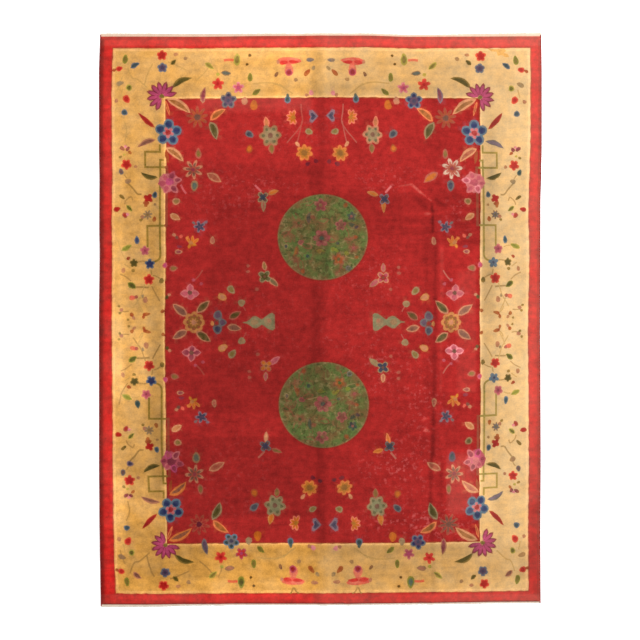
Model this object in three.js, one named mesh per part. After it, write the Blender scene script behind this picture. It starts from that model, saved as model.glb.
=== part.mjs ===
// A hand-knotted wool rug lying flat on the floor, made as one solid: a thick sheet of cut pile
// with overcast sides, thin woven cotton ends, a slightly wandering outline and the soft ridges
// and troughs that its old folds have left.
// Millimetres, +Z up, +Y along the length, origin on the floor under the middle.
import * as THREE from 'three';
import { mergeVertices } from 'three/addons/utils/BufferGeometryUtils.js';

// Driving dimensions
const RUG_WIDTH = 2740;
const RUG_LENGTH = 3530;
const PILE_HEIGHT = 10;
const CORD_WIDTH = 7;
const CORD_HEIGHT = 7;
const WEB_WIDTH = 13;
const WEB_THICKNESS = 2.5;
const PILE_SHOULDER = 8;
const SHOULDER_STEP = 2;
const BEVEL_WIDTH = 9;
const GRID_SPACING = 110;

const HALF_WIDTH = RUG_WIDTH / 2;
const HALF_LENGTH = RUG_LENGTH / 2;

// Height of the top face at a distance in from a long side: over the overcast cord, up to the pile.
const SIDE_PROFILE = [
  { inset: 0, height: CORD_HEIGHT / 2 },
  { inset: CORD_WIDTH / 2, height: CORD_HEIGHT },
  { inset: CORD_WIDTH, height: CORD_HEIGHT * 0.85 },
  { inset: CORD_WIDTH + SHOULDER_STEP, height: PILE_SHOULDER },
  { inset: CORD_WIDTH + BEVEL_WIDTH, height: PILE_HEIGHT },
];

// Height of the top face at a distance in from an end: along the flat cotton web, up to the pile.
const END_PROFILE = [
  { inset: 0, height: WEB_THICKNESS },
  { inset: WEB_WIDTH, height: WEB_THICKNESS },
  { inset: WEB_WIDTH + SHOULDER_STEP, height: PILE_SHOULDER },
  { inset: WEB_WIDTH + BEVEL_WIDTH, height: PILE_HEIGHT },
];

// How far out each edge lies of its nominal line, at shares of its own length.
// The sides run from the near end to the far end, the ends from the left side to the right side.
const LEFT_EDGE = [
  { at: 0, out: -5 },
  { at: 0.1, out: -2 },
  { at: 0.25, out: 0 },
  { at: 0.5, out: 0 },
  { at: 0.62, out: -2 },
  { at: 0.8, out: 0 },
  { at: 0.93, out: 0 },
  { at: 1, out: -4 },
];
const RIGHT_EDGE = [
  { at: 0, out: 0 },
  { at: 0.7, out: 0 },
  { at: 0.8, out: 3 },
  { at: 0.93, out: 3 },
  { at: 1, out: 0 },
];
const FAR_EDGE = [
  { at: 0, out: 2 },
  { at: 0.08, out: 5 },
  { at: 0.22, out: -3 },
  { at: 0.4, out: 0 },
  { at: 0.7, out: -2.5 },
  { at: 0.85, out: -1 },
  { at: 1, out: 5 },
];
const NEAR_EDGE = [
  { at: 0, out: 0 },
  { at: 0.2, out: 2 },
  { at: 0.32, out: 0 },
  { at: 0.5, out: 2 },
  { at: 0.56, out: 7 },
  { at: 0.63, out: 0 },
  { at: 0.75, out: 1 },
  { at: 0.83, out: 6 },
  { at: 0.9, out: 5 },
  { at: 1, out: -1 },
];

// Old folds as straight runs: a ridge has a positive rise and lifts the whole sheet, a trough has
// a negative one and only presses the pile. Spread is the half width.
const FOLDS = [
  { name: 'middle ridge', fromX: 4, fromY: 1765, toX: 20, toY: -1765, rise: 3.5, spread: 55 },
  { name: 'right ridge', fromX: 690, fromY: 700, toX: 688, toY: -1765, rise: 3, spread: 48 },
  { name: 'left ridge', fromX: -706, fromY: 437, toX: -709, toY: -1726, rise: 1.5, spread: 50 },
  { name: 'upper wrinkle', fromX: 490, fromY: 808, toX: 676, toY: 697, rise: 3, spread: 42 },
  { name: 'lower wrinkle', fromX: 490, fromY: -675, toX: 688, toY: -737, rise: 2.5, spread: 42 },
  { name: 'near ripple, middle', fromX: 181, fromY: -1600, toX: 185, toY: -1765, rise: 4, spread: 48 },
  { name: 'near ripple, left', fromX: -622, fromY: -1610, toX: -622, toY: -1765, rise: 3, spread: 48 },
  { name: 'far trough', fromX: -622, fromY: 944, toX: -189, toY: 944, rise: -1.2, spread: 60 },
  { name: 'left trough', fromX: -684, fromY: 721, toX: -375, toY: 715, rise: -1.5, spread: 48 },
  { name: 'right trough', fromX: 737, fromY: 592, toX: 1294, toY: 592, rise: -1.2, spread: 55 },
  { name: 'near trough', fromX: -600, fromY: -780, toX: 600, toY: -775, rise: -1.2, spread: 70 },
];
const FOLD_LINE_SHARES = [0, -1, 1];
const FOLD_LINE_GAP = 18;
const EVEN_LINE_GAP = 50;

const WOOL_RED = 0xa62a26;

const smooth = THREE.MathUtils.smoothstep;
const mix = THREE.MathUtils.lerp;

// Value of a table's column at a place, blended from row to row by a straight or a soft step.
function tableValue(table, placeColumn, valueColumn, place, soft) {
  const next = table.findIndex((row) => row[placeColumn] >= place);
  if (next === 0) return table[0][valueColumn];
  if (next < 0) return table.at(-1)[valueColumn];
  const before = table[next - 1];
  const after = table[next];
  const share = soft
    ? smooth(place, before[placeColumn], after[placeColumn])
    : (place - before[placeColumn]) / (after[placeColumn] - before[placeColumn]);
  return mix(before[valueColumn], after[valueColumn], share);
}

// Height of the sheet's top face above the floor, without folds.
function sheetHeight(x, y) {
  const fromSide = HALF_WIDTH - Math.abs(x);
  const fromEnd = HALF_LENGTH - Math.abs(y);
  const overSide = tableValue(SIDE_PROFILE, 'inset', 'height', fromSide, false);
  const overEnd = tableValue(END_PROFILE, 'inset', 'height', fromEnd, false);
  return Math.min(overSide, overEnd);
}

// Rise of the sheet at a point, summed over the folds, each a bell across its run.
const point = new THREE.Vector3();
const nearest = new THREE.Vector3();
const foldRuns = FOLDS.map(({ fromX, fromY, toX, toY }) =>
  new THREE.Line3(new THREE.Vector3(fromX, fromY, 0), new THREE.Vector3(toX, toY, 0)));

function foldRise(x, y) {
  point.set(x, y, 0);
  return FOLDS.reduce((total, { rise, spread }, index) => {
    foldRuns[index].closestPointToPoint(point, true, nearest);
    const across = Math.min(point.distanceTo(nearest) / spread, 1);
    return total + rise * (1 + Math.cos(Math.PI * across)) / 2;
  }, 0);
}

// Grid lines across one direction: the edge profile's own, those on the crest and the feet of each
// fold that runs along the lines, and evenly spaced ones wherever there is room between.
function gridLines(half, profile, folds) {
  const lines = profile.flatMap(({ inset }) => [inset - half, half - inset]);
  const reach = half - profile.at(-1).inset;
  const addWithRoom = (line, gap) => {
    const room = Math.min(...lines.map((other) => Math.abs(other - line)));
    if (Math.abs(line) < reach && room > gap) lines.push(line);
  };
  FOLD_LINE_SHARES.forEach((share) =>
    folds.forEach(({ place, spread }) => addWithRoom(place + share * spread, FOLD_LINE_GAP)));
  const count = Math.round(2 * reach / GRID_SPACING);
  for (let step = 1; step < count; step += 1) {
    addWithRoom(mix(-reach, reach, step / count), EVEN_LINE_GAP);
  }
  return lines.sort((a, b) => a - b);
}

const runsAlongY = ({ fromX, fromY, toX, toY }) => Math.abs(toY - fromY) > Math.abs(toX - fromX);
const foldsAlongY = FOLDS
  .filter((fold) => runsAlongY(fold))
  .map(({ fromX, toX, spread }) => ({ place: (fromX + toX) / 2, spread }));
const foldsAlongX = FOLDS
  .filter((fold) => !runsAlongY(fold))
  .map(({ fromY, toY, spread }) => ({ place: (fromY + toY) / 2, spread }));

// The sheet: a box of one layer whose points are moved to the grid lines, the edges' wander,
// the edge profiles and the folds.
function rugGeometry() {
  const columns = gridLines(HALF_WIDTH, SIDE_PROFILE, foldsAlongY);
  const rows = gridLines(HALF_LENGTH, END_PROFILE, foldsAlongX);
  const across = columns.length - 1;
  const along = rows.length - 1;
  const box = new THREE.BoxGeometry(1, 1, 1, across, along, 1);
  box.deleteAttribute('normal');
  box.deleteAttribute('uv');
  const geometry = mergeVertices(box);
  const points = geometry.getAttribute('position');
  for (let index = 0; index < points.count; index += 1) {
    const x = columns[Math.round((points.getX(index) + 0.5) * across)];
    const y = rows[Math.round((points.getY(index) + 0.5) * along)];
    const onTop = points.getZ(index) > 0;
    const shareX = (x + HALF_WIDTH) / RUG_WIDTH;
    const shareY = (y + HALF_LENGTH) / RUG_LENGTH;
    const left = -tableValue(LEFT_EDGE, 'at', 'out', shareY, true);
    const right = tableValue(RIGHT_EDGE, 'at', 'out', shareY, true);
    const near = -tableValue(NEAR_EDGE, 'at', 'out', shareX, true);
    const far = tableValue(FAR_EDGE, 'at', 'out', shareX, true);
    const rise = foldRise(x, y);
    const z = onTop ? sheetHeight(x, y) + rise : Math.max(rise, 0);
    points.setXYZ(index, x + mix(left, right, shareX), y + mix(near, far, shareY), z);
  }
  geometry.computeBoundingBox();
  const middle = geometry.boundingBox.getCenter(new THREE.Vector3());
  geometry.translate(-middle.x, -middle.y, 0);
  geometry.computeVertexNormals();
  return geometry;
}

const wool = new THREE.MeshStandardMaterial({ color: WOOL_RED, roughness: 0.95, metalness: 0 });
const rug = new THREE.Mesh(rugGeometry(), wool);
rug.name = 'rug';

const chineseDecoRug = new THREE.Group();
chineseDecoRug.add(rug);

export default chineseDecoRug;
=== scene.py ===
# A hand-knotted wool rug lying on the floor: a red field with two green roundels, a gold border
# scattered with flowers, a red guard band, overcast sides and narrow woven cotton ends.
# The pile is one closed sheet, and the design is charted on it as flat areas of dyed wool.
# Metres and +Z up in the frame; the charts are in millimetres and in pixels of the photograph.
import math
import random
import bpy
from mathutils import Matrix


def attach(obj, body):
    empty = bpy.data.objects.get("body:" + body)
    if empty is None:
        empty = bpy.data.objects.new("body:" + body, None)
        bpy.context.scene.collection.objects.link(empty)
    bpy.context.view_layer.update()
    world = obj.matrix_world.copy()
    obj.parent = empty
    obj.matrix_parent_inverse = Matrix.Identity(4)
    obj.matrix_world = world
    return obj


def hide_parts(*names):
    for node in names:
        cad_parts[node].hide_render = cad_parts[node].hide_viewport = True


bl_info = {
    "name": "Flower Border Rug",
    "version": (1, 0, 0),
    "blender": (4, 5, 0),
    "location": "3D View > Sidebar > Rug",
    "description": "Builds a hand-knotted wool rug with a gold flower border and green roundels",
    "category": "Object",
}

import bpy
import numpy as np
from mathutils.geometry import delaunay_2d_cdt

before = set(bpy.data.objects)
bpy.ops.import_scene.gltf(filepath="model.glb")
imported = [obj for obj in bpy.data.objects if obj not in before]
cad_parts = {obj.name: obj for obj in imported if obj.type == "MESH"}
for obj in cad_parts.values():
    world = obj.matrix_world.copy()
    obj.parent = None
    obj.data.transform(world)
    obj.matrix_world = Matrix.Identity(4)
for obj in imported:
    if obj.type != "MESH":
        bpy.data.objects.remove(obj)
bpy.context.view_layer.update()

MM = 0.001
RUG_NODE = "rug"

# Scale of the photograph, and the pixel under the middle of the rug
PIXEL_MM = 6.18
PHOTO_SIZE = 640
PHOTO_MIDDLE = (319.6, 319.6)

# Light that falls on the rug, for turning a colour as seen into a dye
LIGHT_ON_RUG = 1.3

# Wool and cotton dyes, as seen in the photograph's light
DYES = """
name           red green blue
guard_red      214  36    31
guard_dark     176  34    26
field_red      164  37    34
field_edge     146  33    26
gold           218 156    71
gold_edge      250 184   102
gold_stain     228 166    88
roundel_green   93  92    46
roundel_rim    134 104    70
moss            98 112    58
moss_brown     116  88    54
moss_dark       74  76    38
dull_rose      164  70    78
dull_brown     132  74    52
dull_tan       158 126    84
dull_navy       52  54    66
cream          212 142    96
ivory          206 176   150
tan            190 120    86
dusty          172  84    66
coral          226  96    74
salmon         228 116    88
apricot        196 124    66
brown          138  80    28
ochre          184 110    60
amber          190  98    22
honey          212 116    52
honey_dark     172 104    32
orange         228 122    70
yellow         194 120    42
olive_brown    140  88    34
rust           160  66    28
bark           156  68    48
crimson        146  20    20
bud_red        172  40    26
star_red       204  46    38
scarlet        216  68    48
deep_red       168  16    12
magenta        186  70   106
wine           132  42    58
plum            94  16    34
pink           206  90    94
light_pink     224 130   134
dusty_pink     198 104   102
rose           176  72    84
mauve          172 108    80
lilac          132 104   112
mauve_brown    112  66    52
purple          92  62    80
navy            56  50    72
deep_blue       36  40    84
sky             92 112   124
blue            98 106   116
teal            78  92    82
deep_teal       42  58    58
slate          108  98    96
grey_brown     150 110    74
sage           150 122    86
dark_sage       98  88    54
sage_green     130 122    86
dark_olive      74  62    14
olive          122  96    40
leaf_green     128 124    40
pale_green     170 152    62
fret_olive     136 108    36
fret_pale      154 132    62
fret_brown     146  60    36
vine           168 122    60
dark_vine      150 108    48
faint_vine     196 148    78
stem_pale      168  56    46
maroon         150  30    30
cotton         255 248   232
web_stain      242 178   130
"""

# Wear and painted sheen of each kind of area: share of the painted sheen that pales it towards the light,
# unevenness of its dye, worn specks, and stray knots of other greens and browns
WEAR_AND_SHEEN = """
area    paling mottle specks stray
gold     1.00   1.40   0.1   0.0
guard    0.25   2.00   0.4   0.0
field    0.00   1.50   1.0   0.0
roundel  0.00   1.40   0.0   0.50
spray    0.00   1.20   0.0   0.34
motif    0.12   1.40   0.1   0.0
line     0.40   0.60   0.1   0.0
"""
WEAR_AND_SHEEN_COLUMNS = ("stray", "paling", "mottle", "specks")

# Distance in from a pile edge and the height of the pile there, millimetres
PILE_EDGE = ((0.0, 6.2), (1.0, 7.6), (2.5, 8.7), (5.0, 9.5), (9.0, 10.0))

# How far out each edge lies of its nominal line: share of its length, millimetres.
# The sides run from the near end to the far end, the ends from left to right.
LEFT_EDGE = (
    (0, -13), (0.06, -10), (0.1, -7), (0.16, -4.5), (0.25, -2.5), (0.5, -2), (0.62, -6),
    (0.66, -4), (0.75, -5), (0.8, -2.5), (0.93, -2), (1, -9),
)
RIGHT_EDGE = (
    (0, -4), (0.05, -5), (0.12, -6), (0.25, -3.5), (0.4, -5), (0.48, -7), (0.6, -5.5),
    (0.7, -5), (0.76, 0), (0.8, 3), (0.93, 3), (1, 0),
)
FAR_EDGE = (
    (0, -1), (0.08, -1), (0.22, -2), (0.4, 3), (0.5, 5), (0.6, 5.5), (0.7, -2), (0.85, -1), (1, 1),
)
NEAR_EDGE = (
    (0, 8), (0.1, 9), (0.2, 6), (0.32, 3.5), (0.5, 4), (0.56, 4), (0.63, 2), (0.75, -1.5),
    (0.83, -4.5), (0.9, -8), (1, -9.5),
)

# How much longer than its nominal width each web is: share of its end from left to right, millimetres
FAR_WEB = ((0, 10), (0.27, 9), (0.35, 7), (0.5, 5), (0.75, 4), (0.9, 10), (1, 11))
NEAR_WEB = ((0, 8), (0.12, 6), (0.22, 1), (0.6, 0), (0.8, 1), (1, 1))

# Stain of each web, as a share of the stain's dye: along the pile, along its outer edge
FAR_STAIN = (0.75, 0.3)
NEAR_STAIN = (0.7, 0.05)

# Old folds, millimetres: ridges lift the whole sheet, troughs only press the pile
FOLDS = """
name          from_x from_y to_x  to_y  rise spread
middle_ridge       4   1765   20 -1765   3.5     55
right_ridge      690    700  688 -1765   3.0     48
left_ridge      -706    437 -709 -1726   1.5     50
upper_wrinkle    490    808  676   697   3.0     42
lower_wrinkle    490   -675  688  -737   2.5     42
middle_ripple    181  -1600  185 -1765   4.0     48
left_ripple     -622  -1610 -622 -1765   3.0     48
far_trough      -622    944 -189   944  -1.2     60
left_trough     -684    721 -375   715  -1.5     48
right_trough     737    592 1294   592  -1.2     55
near_trough     -600   -780  600  -775  -1.2     70
"""

# How far each quarter lies off the charted one or its mirror image, as pixels across and along
# at places of the chart: the weaver kept no exact count
DRIFT_ACROSS = (125, 150, 200, 260, 300)
DRIFTS = """
quarter    along  at_125     at_150      at_200      at_260      at_300
far_left     60   -1.2,0     -1.2,-0.6   -0.8,-0.3   -0.7,0      -0.7,0.4
far_left    105   -0.8,0     -1.8,-1.1   0.3,-0.2    -0.6,0      -0.8,0.3
far_left    150   -1.2,0     -1.4,-0.2   -0.3,0.6    -1.2,0.1    -1,0.1
far_left    200   -1.1,-0.3  -1.5,-0.3   -1.4,0      -0.9,0      -1.2,0
far_left    250   -1,-0.7    -1.3,-0.5   -1.4,-0.9   -2,1.2      -2,1.2
far_left    300   -0.8,-0.7  -1,-0.7     -0.6,-0.7   -0.1,-0.4   0,-0.6
far_right    60   0.3,1.7    -2.1,0.6    -1.2,0      0,-0.4      -0.8,0.7
far_right   105   0,1.9      -2,0.5      -1,0.8      0.1,-0.6    -3.4,0.2
far_right   150   0,1.8      -1.7,1.5    -3,0.5      -2.2,-0.4   -3.4,0.4
far_right   200   -0.4,1.3   -4,0.6      -5.8,0.3    -7.4,1.6    -7.4,1.6
far_right   250   -1.3,-1.6  -4.1,-0.9   -6.6,-0.3   -7.6,2.4    -7.6,2.4
far_right   300   -1.5,-1.3  -4.7,-0.3   -5.5,0.6    -8.3,0.3    -8.3,0.3
near_left    60   0.2,1.1    -0.8,0.4    2.6,-0.2    3,-1.4      3.2,-2
near_left   105   0.8,2      0.9,0.6     1.8,0       3.9,-0.8    1.6,0
near_left   150   2,-2.5     2.9,-1.5    1.5,-1.3    5.2,-1      4.8,-0.5
near_left   200   1,-2.8     0.5,-3.1    1,-2.5      2,-3        2,-3
near_left   250   0.1,-3.8   0.6,-3.4    0.7,-4.3    0.6,-1.2    0.6,-1.2
near_left   300   -0.5,-4.8  -0.4,-4.3   1.3,-5      0.2,-2.6    0.2,-2.6
near_right   60   -2.8,0.6   -5.9,0.3    -7.6,-0.8   -7.5,-1.7   -6.4,-1.7
near_right  105   -1.5,1.9   -4.9,0.7    -4.9,-1.2   -6.4,-2.1   -6.6,-0.7
near_right  150   0.7,0.5    -3.3,0.5    -7.6,-2.1   -6.8,-2.1   -8.3,0
near_right  175   0.6,-1     -3.2,-2     -7.4,-2.5   -10.2,-3.5  -11,-2
near_right  200   -0.8,0.4   -4.1,-1.9   -6.9,-3.1   -13,-4      -13,-4
near_right  250   -1.1,-0.8  -4.5,-1.1   -6.8,-2.6   -7.9,-2.8   -7.9,-2.8
near_right  300   -0.7,-3.7  -4.5,-4.4   -4.9,-4.7   -7.7,-5     -7.7,-5
"""

# Outlines of the guard, of the gold border and of the red field, pixels, from the far left round
GUARD_OUTLINE = ((102.6, 39.6), (102.6, 601.4), (537.6, 601.4), (537.6, 39.6))
GOLD_OUTLINE = (
    (111.3, 47.4), (110.4, 100), (110.8, 170), (110.2, 220), (110.7, 330), (111.4, 420),
    (111.9, 520), (112.2, 560), (113.2, 592.6), (180, 593.0), (310, 593.0), (400, 592.6),
    (480, 593.0), (529.3, 592.6), (529.4, 450), (529.3, 330), (530.3, 250), (529.3, 215),
    (530.2, 130), (530.2, 47.4), (430, 47.5), (315, 47.8), (230, 47.3), (195, 47.6),
)
FIELD_OUTLINE = (
    (164.5, 98.5), (165.2, 160), (164.6, 220), (164.0, 320), (164.4, 380), (165.2, 430),
    (165.6, 490), (166.0, 543), (280, 542.7), (365, 543.2), (467, 542.6), (480.2, 542.6),
    (479.4, 470), (481.2, 405), (480.6, 336), (480.2, 280), (480.9, 205), (479.6, 150),
    (479.0, 98.0), (433, 97.7), (350, 97.8), (195, 98.0),
)
OUTLINE_STEP = 4.0
OUTLINE_WAVER = 0.35
OUTLINE_SIDE = 6.0

# Old stain of the gold, in pixels
STAIN_OUTLINE = (
    (487.0, 48.4), (490.6, 51.2), (495.8, 51.6), (497.0, 55.6), (501.4, 55.0), (504.4, 57.2),
    (508.6, 57.0), (506.8, 53.8), (503.0, 52.8), (505.4, 50.6), (503.6, 48.6), (496.0, 49.0),
)

# Bands from the outside in: outline, how far out of it the band reaches in pixels, dye, wear
BANDS = (
    (GUARD_OUTLINE, 0.0, "guard_red", "guard"),
    (GOLD_OUTLINE, 0.6, "guard_dark", "guard"),
    (GOLD_OUTLINE, -0.7, "gold_edge", "gold"),
    (GOLD_OUTLINE, -3.2, "gold", "gold"),
    (FIELD_OUTLINE, 1.6, "gold_edge", "gold"),
    (FIELD_OUTLINE, 0.0, "field_edge", "field"),
    (FIELD_OUTLINE, -1.3, "field_red", "field"),
)

# How the pile lies, with painted light and shade: runs in pixels with a half width, the softness of their
# edges, and the share by which they look lighter or darker. The wide ones are panels between folds,
# partly the lie of the nap and partly painted light and shade; the narrow ones are painted shade and
# painted highlight on the flanks of the folds and along the borders and edges.
NAP_AND_PAINTED_LIGHT = """
from_x from_y to_x to_y reach soft shade
160 130   318 130   36   8    0.20
196 102   312 102   10  16    0.16
326 144   428 144   48  10    0.14
436 144   484 144   48  10    0.05
182 166   182 300   22   8    0.06
180 350   180 435   18   8    0.04
206 309   322 309  102   6   -0.09
188 322   244 322   22  10   -0.10
190 380   322 380   32  10   -0.05
172 424   290 424   12   4    0.07
166 476   320 476   39   4   -0.08
160 462   198 462   22  10   -0.08
200 531   318 531   14   6    0.14
326 376   430 376  168   5    0.07
344 213   430 213   19   6   -0.10
376 282   428 282   20  12    0.09
402 372   428 372   24  10    0.11
437 320   482 320   74   5    0.20
444 482   482 482   33   6    0.24
437 422   482 422   27   6    0.08
437 218   482 218   26   5   -0.06
316 157   317 196    8   4   -0.18
319 280   320 360    8   4   -0.14
320  98   320 157    5   5   -0.08
320 438   321 542    4   4   -0.20
316  47   316  98    6   5   -0.13
325 232   326 280  4.5   5   -0.26
331 250   332 279  0.9   2    0.40
325 362   326 402  4.0   5   -0.20
331 404   331 446  0.9   2    0.25
432 203   433 233  1.4 2.4   -0.50
436 232   435 300  2.0   4   -0.26
436 298   434 402  2.0   3   -0.26
433 400   434 426  1.6 2.6   -0.34
433 428   433 458  2.2 2.6   -0.40
431 456   430 507  1.8 2.6   -0.36
431 505   432 545  2.0   3   -0.22
428 236   427 285  2.2   4   -0.12
442 236   442 300  2.4   4    0.12
442 300   440 410  2.4   4    0.10
441 426   441 456  3.0   4    0.14
438 458   437 512  2.0   4    0.10
434 199   446 206  2.0   3   -0.34
437 214   448 209  1.4 2.4    0.30
398 186   411 184  1.2 2.4    0.30
411 184   421 193  1.2 2.2    0.55
420 192   432 201  1.2 2.2    0.50
408 190   428 207  3.0   4   -0.16
424 214   433 214  2.0   3    0.38
403 213   432 213  1.6   3    0.16
400 220   432 220  3.0   4   -0.08
404 225   430 225  1.4   3    0.14
400 231   432 231  2.6   4   -0.14
420 421   430 417  1.4 2.4    0.34
429 414   433 421  1.8   3   -0.20
424 430   433 432  1.8 2.4    0.36
398 440   428 429  1.4   3    0.18
398 433   428 424  2.6   4   -0.10
367 442   430 453  3.5   5   -0.08
215 207   280 207  4.0   4   -0.14
358 198   400 198  3.5   4   -0.08
447 199   482 199  3.5   4   -0.10
250 447   284 447  6.0   6   -0.08
433 543   434 593  2.2   3   -0.14
439 545   440 593  2.0   3    0.07
112  72   312  72   24  14    0.07
204  70   312  70   24  14    0.12
326  72   470  72   26  12   -0.12
478  72   530  72   26  12   -0.11
132  98   132 164   24  14    0.08
132 312   132 396   24  16    0.18
132 392   132 474   24  12    0.09
132 474   132 524   24  12    0.25
112 566   200 566   26  20   -0.02
206 568   306 568   26  14    0.16
340 568   430 568   26  14   -0.09
428 568   530 568   26  12   -0.06
506  98   506 304   24  14   -0.07
118  60   118 135    6   8    0.09
118 135   118 235    6   8    0.20
118 235   118 325    6   8    0.32
118 325   118 400    6   8    0.38
118 400   118 480    6   8    0.10
118 480   118 578    6   8    0.30
137 330   137 400    9   8    0.14
136 455   136 498    9   8   -0.20
155  95   155 185    7   8   -0.09
155 185   155 320    7   8   -0.19
155 320   155 410    7   8   -0.26
155 410   155 500    7   8   -0.30
155 545   155 592    8   8   -0.08
516  60   516 240   14   8    0.05
516 240   516 545   14   8    0.10
488  95   488 165    7   8   -0.10
488 165   488 320    7   8   -0.21
488 330   488 450    7   8   -0.11
488 455   488 545    7   8    0.14
165  54   320  54    6   8    0.18
321  54   478  54    6   8    0.20
478  54   530  54    6   8    0.06
165  73   425  73    9   8    0.07
165  91   320  91    6   6   -0.13
321  91   478  91    6   6   -0.09
112 585   217 585    7   8    0.24
217 585   320 585    7   8    0.20
321 585   530 585    7   8    0.13
165 550   480 550    6   6   -0.15
100  40   100 600  2.2 5.5   -0.40
540  40   540 600  2.0 5.5   -0.14
150  42   300  42    4 5.5    0.14
115 597   300 597    4 5.5    0.12
467 270   467 400   11   8    0.12
462 455   462 540   15  10    0.16
428 460   428 512    8   8    0.13
534 440   534 496    5 5.5   -0.08
534 502   534 594    5 5.5   -0.28
106 400   106 590    4 5.5    0.10
183 322   206 322   11   6   -0.12
"""
PAINTED_LIGHT_GRID = 5.0
PAINTED_LIGHT_STEP = 3.5

# Where the pile is worn down in specks: middle and reach in pixels, and how much of it
WORN = """
x    y   reach_x reach_y amount
225  195   38      30     0.45
275  186   30      14     0.4
385  178   32      16     0.6
343  342   30      14     0.4
378  368   18      28     0.7
420  400   26      48     0.6
396  468   40      24     0.8
400  522   46      16     0.72
442  526   28      18     0.72
456  215   20      22     0.6
370  280   46      46     0.4
250  330   60      60     0.3
230  480   60      50     0.3
300  130   60      30     0.3
"""

# Motifs of one quarter, in pixels: every quarter takes them with its own drift, mirrored to its place.
# A dye may differ between the far and near halves, or between the four quarters: a/b or a/b/c/d.
LEAVES = """
root_x root_y  tip_x  tip_y width inner  bend  core rim copies
130.8    67.8  139.8   62.6  5.4  3.0  0.05  deep_teal/mauve_brown blue/tan quarters
171.0    64.6  176.4   59.6  4.2  2.2  0.00  dark_olive olive quarters
204.8    62.6  213.4   69.4  4.8  2.4  0.00  olive pale_green quarters
220.4    72.2  230.8   73.6  5.4  3.4  0.00  teal/mauve grey_brown quarters
252.2    95.2  260.2   89.2  4.8  2.6  0.00  olive leaf_green quarters
172.0    87.2  192.5   78.2  5.8  3.4  0.13  dark_olive olive quarters
166.0   101.0  169.8  116.0  2.8  1.0  0.00  rust orange quarters
166.4    99.4  190.0  113.2  8.2  4.0  0.07  brown/brown/mauve_brown/brown cream/cream/honey/cream \
    quarters
201.2   103.0  204.4   86.6  6.0  3.4  0.05  wine/wine/purple/wine mauve/lilac/slate/mauve quarters
209.3   120.8  225.5  108.3  7.6  4.4  0.08  brown orange quarters
208.8   121.0  217.0  139.5  8.6  5.6  0.06  dark_olive sage quarters
154.6   127.8  139.0  112.3  5.0  3.0  0.03  crimson bud_red quarters
157.0   139.3  138.0  147.4  5.0  2.6 -0.09  mauve_brown/lilac/mauve_brown/lilac \
    mauve/slate/mauve/slate quarters
165.8   147.2  184.0  161.2  8.0  3.8  0.08  brown/bark/mauve_brown/dusty cream/cream/honey/cream quarters
165.8   149.0  168.4  163.0  3.6  2.0  0.00  rust rust quarters
206.8   172.2  221.8  181.2  7.6  4.6  0.02  bark/amber/bark/bark tan/dusty/tan/tan quarters
157.8   177.6  140.6  171.2  5.0  3.2  0.12  dark_olive olive quarters
170.8   213.2  180.6  219.4  6.6  3.4  0.00  ochre cream quarters
268.5   194.2  279.8  191.0  5.0  2.4  0.00  amber/amber/olive/amber ochre/ochre/dusty/honey quarters
264.0   199.5  264.5  211.5  4.6  2.0  0.00  dusty/amber/cream/amber sage/ochre/tan/orange quarters
265.2   270.5  264.8  260.5  5.0  2.4  0.00  olive/rose/rose/dusty tan/mauve/mauve/cream quarters
269.0   278.0  279.0  286.5  6.0  3.6  0.00  dark_sage/rose/rose/dull_tan \
    tan/mauve/dusty_pink/sage quarters
267.0   128.5  265.8  116.4  6.2  3.8  0.00  ochre/ochre/amber/amber salmon/salmon/apricot/apricot \
    quarters
190.2   293.4  180.6  293.4  8.0  4.6  0.00  rose/rose/wine/rose \
    dusty_pink/dusty_pink/dusty_pink/light_pink quarters
190.2   293.4  199.8  293.2  8.0  4.6  0.00  rose/rose/wine/rose \
    dusty_pink/dusty_pink/dusty_pink/light_pink quarters
190.2   292.6  190.0  283.6  7.8  4.4  0.00  rose/rose/wine/rose \
    dusty_pink/dusty_pink/dusty_pink/light_pink quarters
190.4   293.0  190.6  300.4  9.0  5.0  0.00  rose/rose/wine/rose \
    dusty_pink/dusty_pink/dusty_pink/light_pink quarters
271.2   143.5  272.2  154.0  6.2  4.2  0.00  olive dusty quarters
126.0   205.0  133.0  211.0  4.6  2.4  0.00  dark_olive pale_green quarters
128.0   283.0  136.6  288.4  6.0  3.4  0.00  dark_olive leaf_green quarters
121.0   250.4  131.4  245.4  5.2  2.8  0.00  leaf_green pale_green quarters
187.6   315.6  172.4  304.6  8.4  5.4  0.00  mauve_brown tan sides
187.6   329.6  173.0  339.4  8.4  5.4  0.00  mauve_brown tan sides
196.4   312.6  210.8  300.6  8.2  5.8  0.00  dark_olive tan sides
197.0   331.6  210.8  342.0  8.2  5.8  0.00  dark_olive tan sides
228.6   319.4  240.6  311.0  7.4  4.8  0.00  dark_olive dusty sides
227.0   326.6  241.8  329.6  7.2  4.6  0.00  mauve_brown tan sides
"""

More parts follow.
